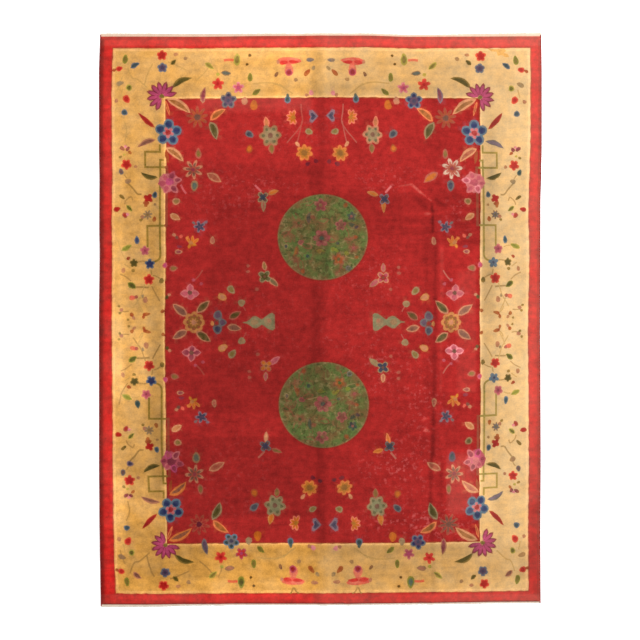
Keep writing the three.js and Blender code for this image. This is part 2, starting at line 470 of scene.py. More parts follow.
BUDS = """
x           y length width turn  dye heart copies
125.0    58.7   9.5  5.2   80  leaf_green olive quarters
119.5    68.5   7.0  5.6   15  scarlet deep_red quarters
114.8    70.0   4.6  3.2   30  rust none quarters
120.0    83.0   8.0  4.5   20  sage/grey_brown none quarters
129.7    87.5   6.6  6.2  -60  pale_green dark_olive quarters
126.5    98.8   8.6  6.8  -50  scarlet deep_red quarters
116.8   100.5   4.4  3.8   65  mauve none quarters
124.5   112.3   6.6  6.2  -25  blue deep_teal quarters
175.4    54.5   5.0  3.2    0  mauve none quarters
185.3    58.5   4.8  4.0   30  grey_brown none quarters
217.8    74.5   4.0  3.6    0  pale_green none quarters
237.2    59.5  12.5  6.6   88  pale_green/pale_green/leaf_green/leaf_green \
    olive/olive/dark_olive/teal quarters
249.3    55.8   3.4  3.2    0  olive_brown dark_olive quarters
246.7    64.5   3.4  3.2    0  olive_brown dark_olive quarters
250.0    77.6   9.0  4.8   90  leaf_green olive quarters
244.5   100.5   8.0  6.0   85  tan/tan/sage/sage none quarters
253.5   105.0  10.0  7.4   88  amber none quarters
276.3    74.7   5.6  3.4   55  mauve_brown none quarters
289.2    70.0  13.0  8.6   90  salmon none quarters
289.2    72.6   7.4  7.0   90  rose crimson quarters
295.4    80.0   4.6  4.0    0  grey_brown none quarters
307.4    72.4   8.6  4.4   50  rust none quarters
310.3    60.2   7.6  3.8    5  slate/mauve none quarters
313.6    68.0   5.0  3.6   60  sage none quarters
289.2    61.4  25.0  7.6    3  coral none quarters
293.0    59.6  12.0  3.6    2  salmon none quarters
283.6    62.8   8.6  4.0    6  star_red none quarters
293.8    62.2  10.0  3.4   -2  star_red none quarters
277.6    62.6   3.4  4.2    0  tan none quarters
169.4   181.8  20.4 19.2   30  dusty_pink/dusty_pink/rose/rose rose/rose/wine/magenta quarters
165.2   176.8   8.6  6.4  125  dusty_pink rose quarters
172.0   174.6   9.2  6.4   70  rose/dusty_pink/magenta/dusty_pink wine/rose/wine/wine quarters
178.0   179.4   9.2  6.2   10  dusty_pink/light_pink/rose/dusty_pink wine/rose/wine/wine quarters
162.0   183.0   7.6  5.4  175  rose/dusty_pink/rose/rose rose/rose/wine/wine quarters
166.6   188.6   9.2  6.6 -110  dusty_pink/light_pink/magenta/magenta rose/rose/rose/wine quarters
174.4   188.2  10.6  6.8  -50  dusty_pink wine/rose/wine/wine quarters
169.6   181.4   8.0  7.0    0  magenta/rose/wine/dusty_pink none quarters
307.0    94.8   4.4  3.8    0  mauve none quarters
311.0    93.4   5.0  5.4    0  light_pink none quarters
287.3    99.4   8.4  6.6   90  blue deep_teal quarters
287.5    95.4   4.4  3.0   90  teal none quarters
198.3   152.6  10.8  5.8   88  dusty olive quarters
194.7   185.5  11.4  7.4  -88  grey_brown/slate/grey_brown/purple teal/navy/teal/deep_teal quarters
176.8   201.0   8.0  6.8   20  tan/tan/tan/grey_brown olive/olive/olive/dark_olive quarters
206.4   222.0   4.0  3.0   20  lilac none quarters
194.6   222.8   4.4  2.6  -35  slate none quarters
175.2   235.0   3.4  4.2   60  tan none quarters
177.6   237.6   3.4  4.0   60  mauve_brown none quarters
181.6   236.0   4.2  3.2   60  coral none quarters
180.0   246.8   6.0  3.2    0  wine none quarters
179.0   252.0   7.4  4.4    0  tan wine quarters
213.0   240.2   8.6  4.8   85  tan dusty quarters
187.6   238.0   4.2  2.8   40  honey none quarters
173.5   268.5   9.0  6.2   10  dusty olive quarters
194.0   280.0   3.6  3.2    0  rose none quarters
190.3   292.8   5.0  4.6    0  mauve_brown none quarters
201.2   283.5   3.8  3.4    0  rose none quarters
166.8   297.0   4.6  3.6   80  dark_olive none quarters
169.0   294.6   3.4  3.0    0  tan none quarters
163.0   311.0   4.4  3.6   45  rust none quarters
249.6   134.2  10.0  6.6  -42  slate dull_navy quarters
249.5   148.4   8.4  6.4   80  rust amber quarters
309.0   131.8   8.0  6.0  -20  sage olive quarters
297.8   144.5   6.2  3.4  -55  cream none quarters
308.4   163.8   5.6  4.4   20  plum none quarters
316.0   161.0   4.6  4.2    0  plum none quarters
257.0   288.6   4.0  3.6    0  dusty none quarters
249.0   265.4   3.6  3.4    0  dusty none quarters
248.6   271.4   4.4  3.0   20  dusty none quarters
122.8   147.8   5.8  3.8  -40  wine none quarters
128.4   148.0   5.4  3.8   50  wine none quarters
125.8   146.2   3.6  3.0    0  light_pink none quarters
130.2   152.0   4.4  3.2  -40  rust none quarters
121.0   156.5   3.8  2.8   30  olive none quarters
124.6   154.6   3.0  2.4    0  pale_green none quarters
135.8   165.8   3.6  3.8   70  mauve none quarters
120.8   171.3   6.8  4.6  100  slate/teal/slate/slate \
    mauve_brown/deep_teal/mauve_brown/mauve_brown quarters
127.8   180.4   7.0  5.0   10  grey_brown/sage/lilac/grey_brown none/none/navy/none quarters
122.0   196.3   7.0  3.4  -40  dark_olive none quarters
155.5   194.0   6.8  5.0   80  blue deep_teal quarters
117.3   209.0   7.0  5.0   10  bud_red deep_red quarters
124.8   215.4   6.4  5.0  -60  dusty bud_red quarters
127.8   214.2   3.4  3.2    0  light_pink none quarters
143.2   216.4   4.4  4.0    0  mauve none quarters
141.8   219.6   3.8  2.8   20  olive none quarters
155.0   219.0   5.4  3.8   80  rust none quarters
156.0   204.0   3.2  2.8    0  grey_brown none quarters
136.8   240.2   8.6  5.0   85  blue/sky/teal/sky deep_blue/deep_teal/deep_teal/deep_teal quarters
128.0   258.0   5.0  3.4   30  crimson none quarters
122.8   270.5   5.6  3.8   80  mauve none quarters
133.3   270.5   4.0  3.2   20  olive none quarters
164.8   265.3   6.2  5.0   80  pink magenta quarters
161.3   280.5   6.0  4.6   80  olive none quarters
132.8   297.3   7.0  4.6   10  coral none quarters
136.4   296.6   4.0  3.8   10  dusty none quarters
145.8   299.7   6.6  5.0   80  mauve none quarters
142.6   296.0   4.0  2.4   80  sage none quarters
121.6   309.6   4.4  4.0   30  mauve none quarters
119.8   312.6   3.2  2.6   30  olive none quarters
118.6   306.6   3.0  2.4  -30  olive none quarters
131.8   314.6   4.6  4.0  -40  rust none quarters
134.0   317.8   4.2  3.0  -40  mauve none quarters
128.4   319.4   2.8  2.6    0  olive none quarters
147.0   313.8   8.0  3.4   12  rust none quarters
143.4   317.0   4.4  3.2   75  rust none quarters
231.6   290.0   9.8  6.6  -50  sage olive quarters
222.0   297.0  10.0  7.0  -25  apricot tan quarters
241.5   303.0   7.6  7.0   20  sage grey_brown quarters
217.6   315.4  10.2  8.8   80  slate purple sides
222.4   322.4   8.8  8.2    0  slate purple sides
217.4   329.8   9.8  8.8  -80  slate navy sides
216.8   322.6   6.4  6.0   90  mauve_brown maroon sides
212.8   323.0   5.4  3.4   90  apricot none sides
"""

FLOWERS = """
x      y     radius petals turn waist point rim core hearts share ring eye eye_r copies
162.0   55.2   5.4  5   90  0.70  0.7  scarlet deep_red none 0.4 none none 1 quarters
163.0   68.0   5.2  5   90  0.74  0.7  blue purple none 0.4 none navy 1.6 quarters
168.2  132.4  13.2  5   90  0.64  0.7  sky none deep_blue 0.52 dusty_pink crimson 2.8 quarters
217.5   83.8   6.4  5   90  0.54  0.9  scarlet star_red none 0.4 none deep_red 1.6 quarters
237.8   87.6   6.2  5   90  0.52  0.9  light_pink/light_pink/rose/dusty_pink \
    pink/pink/star_red/rose none 0.4 none magenta 1.8 quarters
227.8  100.0   8.4  5   90  0.64  0.8  slate/blue/sky/blue purple/purple/slate/purple \
    navy/deep_blue/deep_teal/deep_blue 0.40 none navy 2.0 quarters
197.0  117.0  11.0  9   10  0.36  1.0  bark rust/rust/maroon/mauve_brown none 0.4 bark \
    mauve_brown/mauve_brown/plum/mauve_brown 3.0 quarters
192.6  168.4  10.4  7   20  0.34  1.2  tan/ivory/tan/tan mauve_brown/dusty/mauve_brown/mauve_brown \
    none 0.4 bark wine 2.0 quarters
270.3  135.6  11.0  6    5  0.70  1.4  grey_brown/tan/sage/sage sage/sage/sage_green/sage_green \
    dark_sage 0.30 none mauve_brown 2.6 quarters
304.6  153.2   8.5  7   88  0.66  0.9  honey honey_dark none 0.34 olive_brown olive_brown 3.0 quarters
262.8  197.4   6.4  4   40  0.50  0.9  sage/lilac/slate/slate dull_navy/navy/navy/dull_navy \
    mauve_brown 0.4 none none 1 quarters
265.0  276.4   7.2  4   50  0.52  0.9  sage/tan/dusty/sage dark_olive/crimson/ochre/dull_navy \
    dark_sage/rose/amber/navy 0.5 none mauve_brown 1.4 quarters
126.5  163.8   5.6  5  -90  0.66  0.8  scarlet deep_red none 0.4 none none 1 quarters
148.4  198.0   5.0  4   60  0.62  0.8  bud_red deep_red none 0.4 none none 1 quarters
146.6  203.6   3.6  3   20  0.60  0.8  rust none none 0.4 none none 1 quarters
145.0  250.3   5.2  5   90  0.70  0.7  dusty_pink rose none 0.4 none wine 1.2 quarters
134.0  263.3   4.4  5   90  0.66  0.7  olive dark_olive none 0.4 none none 1 quarters
150.2  263.6   5.6  5   90  0.62  0.7  blue/sky/blue/sky deep_blue/blue/deep_blue/blue none 0.4 \
    none navy 1.4 quarters
148.6  279.4   5.8  5   90  0.68  0.7  scarlet deep_red none 0.4 none none 1 quarters
200.4  226.8   6.6  5   34  0.42  1.0  lilac navy none 0.4 none purple 1.6 quarters
147.8  214.4   5.0  7   10  0.50  1.0  sage/grey_brown/sage/grey_brown \
    grey_brown/slate/grey_brown/slate none 0.4 none olive 1.2 quarters
194.0  322.2  10.6  8   90  0.82  0.8  apricot olive_brown bark 0.22 apricot tan 2.4 sides
"""

FANS = """
x      y      radius width from  to    petals tip        base        heart      copies
163.0   96.5  15.0   5.0    16   252   9      wine       magenta     olive      quarters
293.4  117.6   7.8   3.8    80   280   6      salmon     amber       honey_dark quarters
192.6  244.2   9.0   3.2    44   128   3      honey      amber       amber      quarters
191.0  242.6   6.4   3.2   246   330   2      amber      yellow      ochre      quarters
"""

# Vase on each side of the field, lying along the middle line: pixel across, half height
VASE_MIDDLE = 322.0
VASE_PROFILE = (
    (243.0, 0.5), (247.0, 0.9), (250.0, 3.2), (253.0, 5.6), (256.0, 6.2), (259.0, 4.6),
    (261.5, 2.6), (264.0, 3.6), (267.0, 6.2), (270.0, 8.2), (273.0, 8.8), (275.0, 7.0),
)
VASE_MARKS = """
x      off  length width turn dye
254.5   0    8      6     0   grey_brown
268.5   0    8      9    20   sage
269.5  -1    4      4     0   mauve
"""

# Heart-shaped blossom beside the middle line: corners in pixels
HEART_OUTLINE = (
    (309.0, 110.4), (312.0, 109.6), (315.0, 112.6), (318.6, 116.0), (315.4, 119.6),
    (312.6, 122.8), (309.6, 122.0), (309.4, 118.8), (311.0, 116.4), (309.2, 113.8),
)
HEART_CORE = 0.58
HEART_CORE_SHIFT = (0.4, 0)

STEMS = """
dye         width soft copies   path
fret_olive/fret_pale/fret_olive/fret_pale 2.0   no   quarters \
    160.3,144>160.3,151.4>145.6,151.4>145.6,166.8>165,166.8
fret_brown  2.6   no   quarters 165,166.8>167,166.8>167,225.2>165,225.2
fret_olive/fret_pale/fret_olive/fret_pale 2.0   no   quarters 165,225.4>147.8,225.6>147.8,247
fret_olive/fret_pale/fret_olive/fret_pale 2.0   no   quarters 164,159.4>160.5,159.4>160.4,250
fret_olive/fret_pale/fret_olive/fret_pale 1.9 yes quarters 160.4,248>160.4,256>158,260>152,262.5
faint_vine/none/vine/faint_vine 1.4 yes quarters 128,67>130,73>133,78>138,79.5>148,88
faint_vine/none/vine/none 1.4 yes quarters 153,64>150,70>147,78>145,86
faint_vine  1.2   yes  quarters 123,88>121,96
dark_vine   1.6   yes  quarters 127,182>133,188>137.5,193.5>142,194
vine        1.3   yes  quarters 124.5,204>126,200>131,196.5>133,200
vine        1.1   yes  quarters 124,174>127,178
faint_vine  1.2   yes  quarters 131,247>135,247>139,248.4
vine        1.3   yes  quarters 137,262>143,261>147,262
faint_vine/none/vine/none 1.3 yes quarters 196,80>203,74>208,68
none/none/dark_vine/vine 1.3 yes quarters 289,55>287.5,51>286,48.5
none/none/dark_vine/vine 1.3 yes quarters 290,55>292,51>295,49
faint_vine/none/vine/none 1.3 yes quarters 168,62>178,66>186,70
faint_vine/none/vine/none 1.2 yes quarters 118,90>120,83>123,76
faint_vine/none/vine/none 1.2 yes quarters 214,64>217,70>218,76
faint_vine/none/vine/none 1.2 yes quarters 124,120>127,130>125,142
faint_vine/none/vine/none 1.2 yes quarters 118,240>121,252>127,262
vine        1.2   yes  quarters 120,274>126,277>131,281
dark_vine   1.7   yes  quarters 136,287>142,287>149,287.4
vine/vine/dark_vine/vine 1.3 yes quarters 152,286>155,292>160,301
faint_vine/faint_vine/vine/faint_vine 1.3 yes quarters 133,308>137,302>141,296>143,290>145,284
faint_vine  1.3   yes  quarters 143,311>139,304>137,299
faint_vine  1.3   yes  quarters 139,307>141,311>144,313
vine        1.2   yes  quarters 121,311>125,311.4>129,311
vine        1.2   yes  quarters 151,270>152,275
vine        1.3   yes  quarters 153,275>157,276.5>161,279
faint_vine  1.3   yes  quarters 124,264>127,266>130,268
faint_vine  1.5   yes  quarters 252,84>265,83>274,83.6>283,87
faint_vine  1.4   yes  quarters 279,84>287,90>293,94
scarlet     2.4   yes  quarters 223.6,60.4>228,59.8>233.4,60.2
stem_pale/stem_pale/none/none 1.3 yes quarters 301,104>301.5,112>302.5,122>298,130>292,137>287,143
stem_pale/stem_pale/none/none 1.2 yes quarters 302,121>300,132>297.5,142
pink/pink/dusty/dusty 1.8 yes quarters 255,185>258,188>261.5,191.5
pink/none/none/none 1.8 yes quarters 181,184>183.5,189>186.5,193
stem_pale   1.4   yes  quarters 194,281>199,276>203,270
stem_pale   1.2   yes  quarters 242,305>244.5,309>245.5,311
"""

# Roundels: their middles and radius in pixels, and a flowering branch charted about the middle
ROUNDEL_MIDDLES = ((322.4, 237.4), (323.6, 404.7))
ROUNDEL_RADII = (45.2, 42.8)
ROUNDEL_RIM = 1.3
ROUNDEL_STEPS = 72

SPRAY_STEMS = """
dye         width soft path
moss_dark   2.0   yes  -28,25>-16,18>-4,4>8,-8>22,-14>32,-24
moss_dark   1.7   yes  -4,4>-10,-10>-24,-16>-34,-14
moss_dark   1.7   yes  8,-8>6,-22>-2,-34
moss_dark   1.7   yes  -16,18>0,24>16,22>30,12
dull_brown  1.4   yes  -24,-16>-32,-8>-37,2
dull_brown  1.4   yes  16,22>18,30>14,38
dull_brown  1.4   yes  20,-14>26,-4>25,6
dull_tan    1.2   yes  -6,8>-14,6>-22,8
"""
SPRAY_LEAVES = """
root_x root_y tip_x  tip_y  width inner bend  core       rim
-27     24    -34     14     6.4   3.8  0.10 moss_dark   moss_brown
-22     22    -20     35     6.4   3.8 -0.10 moss        dull_brown
-10     10    -22      5     6.0   3.6  0.10 moss_dark   dull_brown
  2     -2     15      4     6.4   3.8 -0.10 moss        dull_brown
 14    -11     12    -25     6.4   3.8  0.10 moss_dark   moss_brown
 24    -15     38    -10     6.4   3.8 -0.10 deep_teal   moss_brown
 30    -22     24    -34     6.0   3.6  0.10 moss_dark   moss
  6    -18     -6    -16     5.8   3.4  0.10 moss        dull_brown
-14    -12    -12    -27     6.2   3.8  0.10 deep_teal   moss_brown
-22    -16    -31    -27     6.2   3.8  0.10 moss        dull_brown
  4     24      2     38     6.4   3.8  0.10 moss_dark   moss
 22     18     37     22     6.4   3.8  0.10 moss_dark   dull_tan
 18     30     29     32     5.8   3.4  0.10 moss        dull_brown
-34     -6    -42     -3     5.0   2.8  0.10 moss_dark   dull_brown
-34     -4    -28      5     5.0   2.8  0.10 moss_brown  dull_brown
 -8     14      3     14     5.2   3.0  0.10 leaf_green  moss_dark
 20      2     33      0     5.6   3.2 -0.10 dull_brown  moss_brown
 -8    -36    -21    -34     5.4   3.0  0.10 moss        dull_brown
  8     10     17     17     5.4   3.0  0.10 leaf_green  moss_dark
-26      8    -30     21     5.4   3.0  0.10 rust        dull_brown
 26     28     17     24     5.0   2.8  0.10 moss        moss_dark
"""
SPRAY_FLOWERS = """
x      y      radius petals turn waist point rim        core       hearts     share ring eye         eye_r
 -1      1    8.8    6       0   0.70  0.7   dull_rose  wine       dull_rose  0.4   none dull_navy   2.4
-24    -14    7.0    5      90   0.62  0.7   moss_brown dull_brown none       0.4   none moss_dark   1.8
 29    -21    6.6    5      90   0.62  0.7   moss       dull_navy  none       0.4   none dull_rose   1.4
 -2    -32    7.0    5      90   0.62  0.7   dull_rose  wine       none       0.4   none moss_brown  1.8
-15     19    6.8    5      20   0.62  0.7   moss_brown moss       none       0.4   none dull_navy   2.0
 16     22    7.2    5      90   0.62  0.7   dull_brown rust       none       0.4   none moss_dark   1.8
 31     11    6.2    5      90   0.62  0.7   moss_brown dull_brown none       0.4   none dull_rose   1.8
 18    -12    6.0    5      90   0.62  0.7   dull_rose  wine       none       0.4   none none        1
-27     22    5.2    5      90   0.62  0.7   moss_brown dull_brown none       0.4   none none        1
  9    -24    5.0    5      30   0.62  0.7   moss_dark  moss       none       0.4   none none        1
-35      1    5.0    5      90   0.62  0.7   dull_brown moss_brown none       0.4   none none        1
"""
SPRAY_BUDS = """
x      y      length width turn  dye         heart
 14     36     6.4   4.8    80   moss_brown  dull_brown
 34    -10     7.0   5.4    20   moss_brown  dull_navy
-20     34     6.4   5.2   -70   dull_brown  rust
-13    -27     6.0   4.8    70   moss_brown  moss
 34     20     6.0   4.8    20   moss_brown  rust
  1     36     5.8   4.8    80   moss        moss_dark
 23    -32     6.4   5.2    60   dull_brown  rust
-30    -26     6.0   5.0   130   moss_dark   none
 15      6     5.6   4.6   -30   moss        dull_navy
-22      5     6.4   4.8    20   dull_rose   wine
 33      0     5.6   4.4     0   dull_brown  rust
-20    -32     5.6   4.6   160   moss        moss_dark
 -3     14     5.4   4.6     0   olive       none
 24     16     5.2   4.4     0   leaf_green  none
-37      9     5.0   6.2     0   dull_tan    dull_navy
 10     12     5.0   4.2    40   leaf_green  olive
-10    -20     5.6   4.6   -40   dull_brown  none
 26     31     6.0   5.4     0   slate       deep_teal
"""

COPIES = {
    "quarters": ("far_left", "far_right", "near_left", "near_right"),
    "sides": ("far_left", "far_right"),
}

# How freely the weaver repeats a motif: shift in pixels, turn in degrees, change of size
REPEAT_SHIFT = 0.4
REPEAT_TURN = 4.0
REPEAT_SIZE = 0.04
EDGE_WAVER = 0.3
WAVER_SHARE = 0.22
SEED = 17

LEAF_STEPS = 7
OVAL_STEPS = 12
SMALL_OVAL = 6.0
SMALL_OVAL_STEPS = 8
PETAL_STEPS = 6
SMALL_ROSETTE = 7.0
SMALL_PETAL_STEPS = 4
CURVE_STEPS = 5
RIBBON_STEP = 4.0

# Leaves: how full towards the root and how blunt, and where along them the core starts and ends
LEAF_FULLNESS = 0.85
LEAF_BLUNTNESS = 0.8
LEAF_CORE_FROM = 0.1
LEAF_CORE_TO = 0.92

# Buds: how pointed, and the size of the heart as a share of the bud
BUD_POINT = 0.25
BUD_HEART = 0.62

# Flowers, as shares of their radius: core, ring, and the place and width of a petal's heart
CORE_SHARE = 0.72
RING_SHARE = 0.42
RING_SHAPE = (0.5, 0.7)
HEART_PLACE = 0.62
HEART_WIDTH = 2.4

# Fans: reach and width of the petals and of their inner parts, their root, and the heart's oval
FAN_PETAL = (1.0, 1.0)
FAN_INNER = (0.86, 0.6)
FAN_ROOT = 0.1
FAN_HEART = (5, 4, -30)

# Width in pixels over which the tips of the pile mingle outside an outline
COLLAR = 0.9


def value_of(cell):
    """A table cell as a number where it is one."""
    try:
        return float(cell)
    except ValueError:
        return cell


def rows_of(table):
    """Rows of a text table as dicts under the names in its first line."""
    lines = [line.split() for line in table.strip().splitlines()]
    return [dict(zip(lines[0], map(value_of, cells), strict=True)) for cells in lines[1:]]


def seen_to_linear(level):
    """Linear light of a colour level from 0 to 255."""
    share = level / 255
    if share <= 0.04045:
        return share / 12.92
    return ((share + 0.055) / 1.055) ** 2.4


def dye_property(row):
    """Colour property of one dye."""
    seen = (row["red"], row["green"], row["blue"])
    title = row["name"].replace("_", " ")
    return bpy.props.FloatVectorProperty(
        name=title.capitalize(),
        description=f"Colour of the {title} yarn",
        subtype="COLOR",
        size=3,
        min=0,
        max=1,
        default=[seen_to_linear(level) / LIGHT_ON_RUG for level in seen],
    )


class RugDyes(bpy.types.PropertyGroup):
    """Colours of the rug's yarns."""

    __annotations__ = {row["name"]: dye_property(row) for row in rows_of(DYES)}


def size_property(title, size, description):
    """Length property of one size in metres."""
    return bpy.props.FloatProperty(
        name=title, description=description, default=size, unit="LENGTH"
    )


class RugSizes(bpy.types.PropertyGroup):
    """Sizes of the rug."""

    width: size_property("Width", 2.74, "Nominal width between the long sides")
    length: size_property("Length", 3.53, "Nominal length between the ends")
    knot_grid: size_property("Grid", 0.03, "Spacing of the points that carry the folds")
    cord_width: size_property("Cord width", 0.007, "Width of the overcast cord on a long side")
    wrap_pitch: size_property("Wrap pitch", 0.006, "Distance between wraps of the overcast yarn")
    web_width: size_property("Web width", 0.013, "Width of the cotton web that shows at an end")
    web_thickness: size_property("Web thickness", 0.0025, "Thickness of the cotton web")


def soft_table(table, place):
    """Values of a table of (place, value) with a soft step from row to row."""
    places, values = np.array(table, dtype=float).T
    after = np.clip(np.searchsorted(places, place), 1, len(places) - 1)
    share = (place - places[after - 1]) / (places[after] - places[after - 1])
    share = np.clip(share, 0, 1)
    share = share * share * (3 - 2 * share)
    return values[after - 1] + (values[after] - values[after - 1]) * share


def fold_rise(x, y):
    """Rise of the sheet in millimetres, summed over its folds, each a bell across its run."""
    total = np.zeros_like(x)
    for fold in rows_of(FOLDS):
        run_x = fold["to_x"] - fold["from_x"]
        run_y = fold["to_y"] - fold["from_y"]
        share = (x - fold["from_x"]) * run_x + (y - fold["from_y"]) * run_y
        share = np.clip(share / (run_x**2 + run_y**2), 0, 1)
        off_x = x - fold["from_x"] - share * run_x
        off_y = y - fold["from_y"] - share * run_y
        across = np.minimum(np.hypot(off_x, off_y) / fold["spread"], 1)
        total += fold["rise"] * (1 + np.cos(math.pi * across)) / 2
    return total


def wandered(sizes, x, y):
    """Points of the even sheet moved with the wander of its edges, centred as the frame is."""
    width = sizes.width / MM
    length = sizes.length / MM
    share_x = np.clip(x / width + 0.5, 0, 1)
    share_y = np.clip(y / length + 0.5, 0, 1)
    left = -soft_table(LEFT_EDGE, share_y)
    right = soft_table(RIGHT_EDGE, share_y)
    near = -soft_table(NEAR_EDGE, share_x)
    far = soft_table(FAR_EDGE, share_x)
    moved_x = x + left + (right - left) * share_x
    moved_y = y + near + (far - near) * share_y
    shift_x = (max(out for _, out in LEFT_EDGE) - max(out for _, out in RIGHT_EDGE)) / 2
    shift_y = (max(out for _, out in NEAR_EDGE) - max(out for _, out in FAR_EDGE)) / 2
    return moved_x + shift_x, moved_y + shift_y


def pile_height(sizes, x, y):
    """Height of the pile's face over its back in millimetres, rounded off along the edges."""
    from_side = sizes.width / MM / 2 - sizes.cord_width / MM - np.abs(x)
    from_end = sizes.length / MM / 2 - sizes.web_width / MM - np.abs(y)
    insets, heights = zip(*PILE_EDGE, strict=True)
    over_side = np.interp(from_side, insets, heights)
    over_end = np.interp(from_end, insets, heights)
    return np.minimum(over_side, over_end)


# Outlines of the motifs, as rows of x and y in pixels with y down


def leaf_outline(root, tip, width, bend):
    """A pointed leaf, fuller towards its root, bent to its left by a share of its length."""
    root = np.array(root)
    along = np.array(tip) - root
    across = np.array((along[1], -along[0]))
    unit = across / np.hypot(*across)
    share = np.linspace(0, 1, LEAF_STEPS + 1)[:, None]
    spine = root + along * share + across * bend * 4 * share * (1 - share)
    half = unit * width / 2 * np.sin(math.pi * share**LEAF_FULLNESS) ** LEAF_BLUNTNESS
    return np.vstack((spine + half, (spine - half)[-2:0:-1]))


def oval_outline(x, y, length, width, turn):
    """A bud: an oval a little pointed at its far end."""
    steps = OVAL_STEPS if length > SMALL_OVAL else SMALL_OVAL_STEPS
    angle = np.arange(steps) * 2 * math.pi / steps
    long = length / 2 * np.cos(angle)
    wide = width / 2 * np.sin(angle) * (1 - BUD_POINT * np.cos(angle))
    tilt = math.radians(turn)
    across = long * math.cos(tilt) - wide * math.sin(tilt)
    up = long * math.sin(tilt) + wide * math.cos(tilt)
    return np.column_stack((x + across, y - up))


def rosette_outline(x, y, radius, petals, turn, waist, point):
    """A flower's outline: petals round a middle, rounder with a small point value."""
    count = int(petals) * (PETAL_STEPS if radius > SMALL_ROSETTE else SMALL_PETAL_STEPS)
    angle = np.arange(count) * 2 * math.pi / count
    lobe = np.abs(np.cos(petals * angle / 2)) ** point
    reach = radius * (waist + (1 - waist) * lobe)
    aim = angle + math.radians(turn)
    return np.column_stack((x + reach * np.cos(aim), y - reach * np.sin(aim)))


def path_points(path, soft):
    """Points of a charted path, curved through them where it is soft."""
    points = np.array([pair.split(",") for pair in path.split(">")], dtype=float)
    if not soft:
        return points
    ends = np.vstack((2 * points[0] - points[1], points, 2 * points[-1] - points[-2]))
    share = np.linspace(0, 1, CURVE_STEPS, endpoint=False)[:, None]
    curve = []
    for before, start, end, after in zip(ends, ends[1:], ends[2:], ends[3:]):
        bend = 2 * before - 5 * start + 4 * end - after
        twist = 3 * (start - end) + after - before
        curve.append(
            start + share * (end - before) / 2 + share**2 * bend / 2 + share**3 * twist / 2
        )
    return np.vstack((*curve, points[-1:]))


def ribbon_outline(points, width):
    """A ribbon of even width along a path, with square corners where the path turns."""
    steps = np.diff(points, axis=0)
    steps /= np.hypot(*steps.T)[:, None]
    sides = np.column_stack((steps[:, 1], -steps[:, 0]))
    before = np.vstack((sides[:1], sides))
    after = np.vstack((sides, sides[-1:]))
    mitre = before + after
    mitre /= (mitre * before).sum(axis=1)[:, None]
    half = mitre * width / 2
    return np.vstack((points + half, (points - half)[::-1]))


def grown(outline, share):
    """An outline scaled about its middle."""
    middle = outline.mean(axis=0)
    return middle + (outline - middle) * share


# Motifs as lists of (outline, dye), the later ones on top


def leaf_layers(row):
    """A leaf with a core of another dye."""
    root = np.array((row["root_x"], row["root_y"]))
    tip = np.array((row["tip_x"], row["tip_y"]))
    whole = leaf_outline(root, tip, row["width"], row["bend"])
    inner_root = root + (tip - root) * LEAF_CORE_FROM
    inner_tip = root + (tip - root) * LEAF_CORE_TO
    inner = leaf_outline(inner_root, inner_tip, row["inner"], row["bend"])
    return [(whole, row["rim"]), (inner, row["core"])]


def bud_layers(row):
    """A bud, with a heart of another dye where it has one."""
    sizes = [row[name] for name in ("x", "y", "length", "width", "turn")]
    whole = oval_outline(*sizes)
    return [(whole, row["dye"]), (grown(whole, BUD_HEART), row["heart"])]


def flower_layers(row):
    """A flower seen from above: rim, core, a heart in each petal, a ring between them, an eye."""
    x, y, radius = row["x"], row["y"], row["radius"]
    shape = [row[name] for name in ("petals", "turn", "waist", "point")]
    layers = [
        (rosette_outline(x, y, radius, *shape), row["rim"]),
        (rosette_outline(x, y, radius * CORE_SHARE, *shape), row["core"]),
    ]
    if row["hearts"] != "none":
        length = radius * row["share"]
        width = min(length, radius * HEART_WIDTH / row["petals"])
        for number in range(int(row["petals"])):
            turn = row["turn"] + number * 360 / row["petals"]
            aim = math.radians(turn)
            middle_x = x + radius * HEART_PLACE * math.cos(aim)
            middle_y = y - radius * HEART_PLACE * math.sin(aim)
            heart = oval_outline(middle_x, middle_y, length, width, turn)
            layers.append((heart, row["hearts"]))
    between = row["turn"] + 180 / row["petals"]
    ring = rosette_outline(x, y, radius * RING_SHARE, row["petals"], between, *RING_SHAPE)
    layers.append((ring, row["ring"]))
    layers.append((oval_outline(x, y, 2 * row["eye_r"], 2 * row["eye_r"], 0), row["eye"]))
    return layers


def fan_layers(row):
    """A flower seen from the side: narrow petals spread from its heart."""
    middle = np.array((row["x"], row["y"]))
    layers = []
    for reach, width, dye in ((*FAN_PETAL, row["tip"]), (*FAN_INNER, row["base"])):
        for angle in np.radians(np.linspace(row["from"], row["to"], int(row["petals"]))):
            aim = np.array((math.cos(angle), -math.sin(angle)))
            root = middle + aim * row["radius"] * FAN_ROOT
            tip = middle + aim * row["radius"] * reach
            layers.append((leaf_outline(tip, root, row["width"] * width, 0), dye))
    layers.append((oval_outline(*middle, *FAN_HEART), row["heart"]))
    return layers


def stem_layers(row):
    """A stem or a line of the fret."""
    points = path_points(row["path"], row["soft"] == "yes")
    return [(ribbon_outline(points, row["width"]), row["dye"])]


def vase_layers():
    """The lying vase, with a mottled body inside its rim."""
    profile = np.array(VASE_PROFILE)
    upper = np.column_stack((profile[:, 0], VASE_MIDDLE - profile[:, 1]))
    lower = np.column_stack((profile[:, 0], VASE_MIDDLE + profile[:, 1]))
    layers = [(np.vstack((upper, lower[::-1])), "sage_green")]
    for row in rows_of(VASE_MARKS):
        sizes = [row[name] for name in ("length", "width", "turn")]
        layers.append((oval_outline(row["x"], VASE_MIDDLE + row["off"], *sizes), row["dye"]))
    return layers


def heart_layers():
    """The heart-shaped blossom, dark inside a pale rim."""
    whole = np.array(HEART_OUTLINE)
    return [(whole, "lilac"), (grown(whole, HEART_CORE) + HEART_CORE_SHIFT, "navy")]


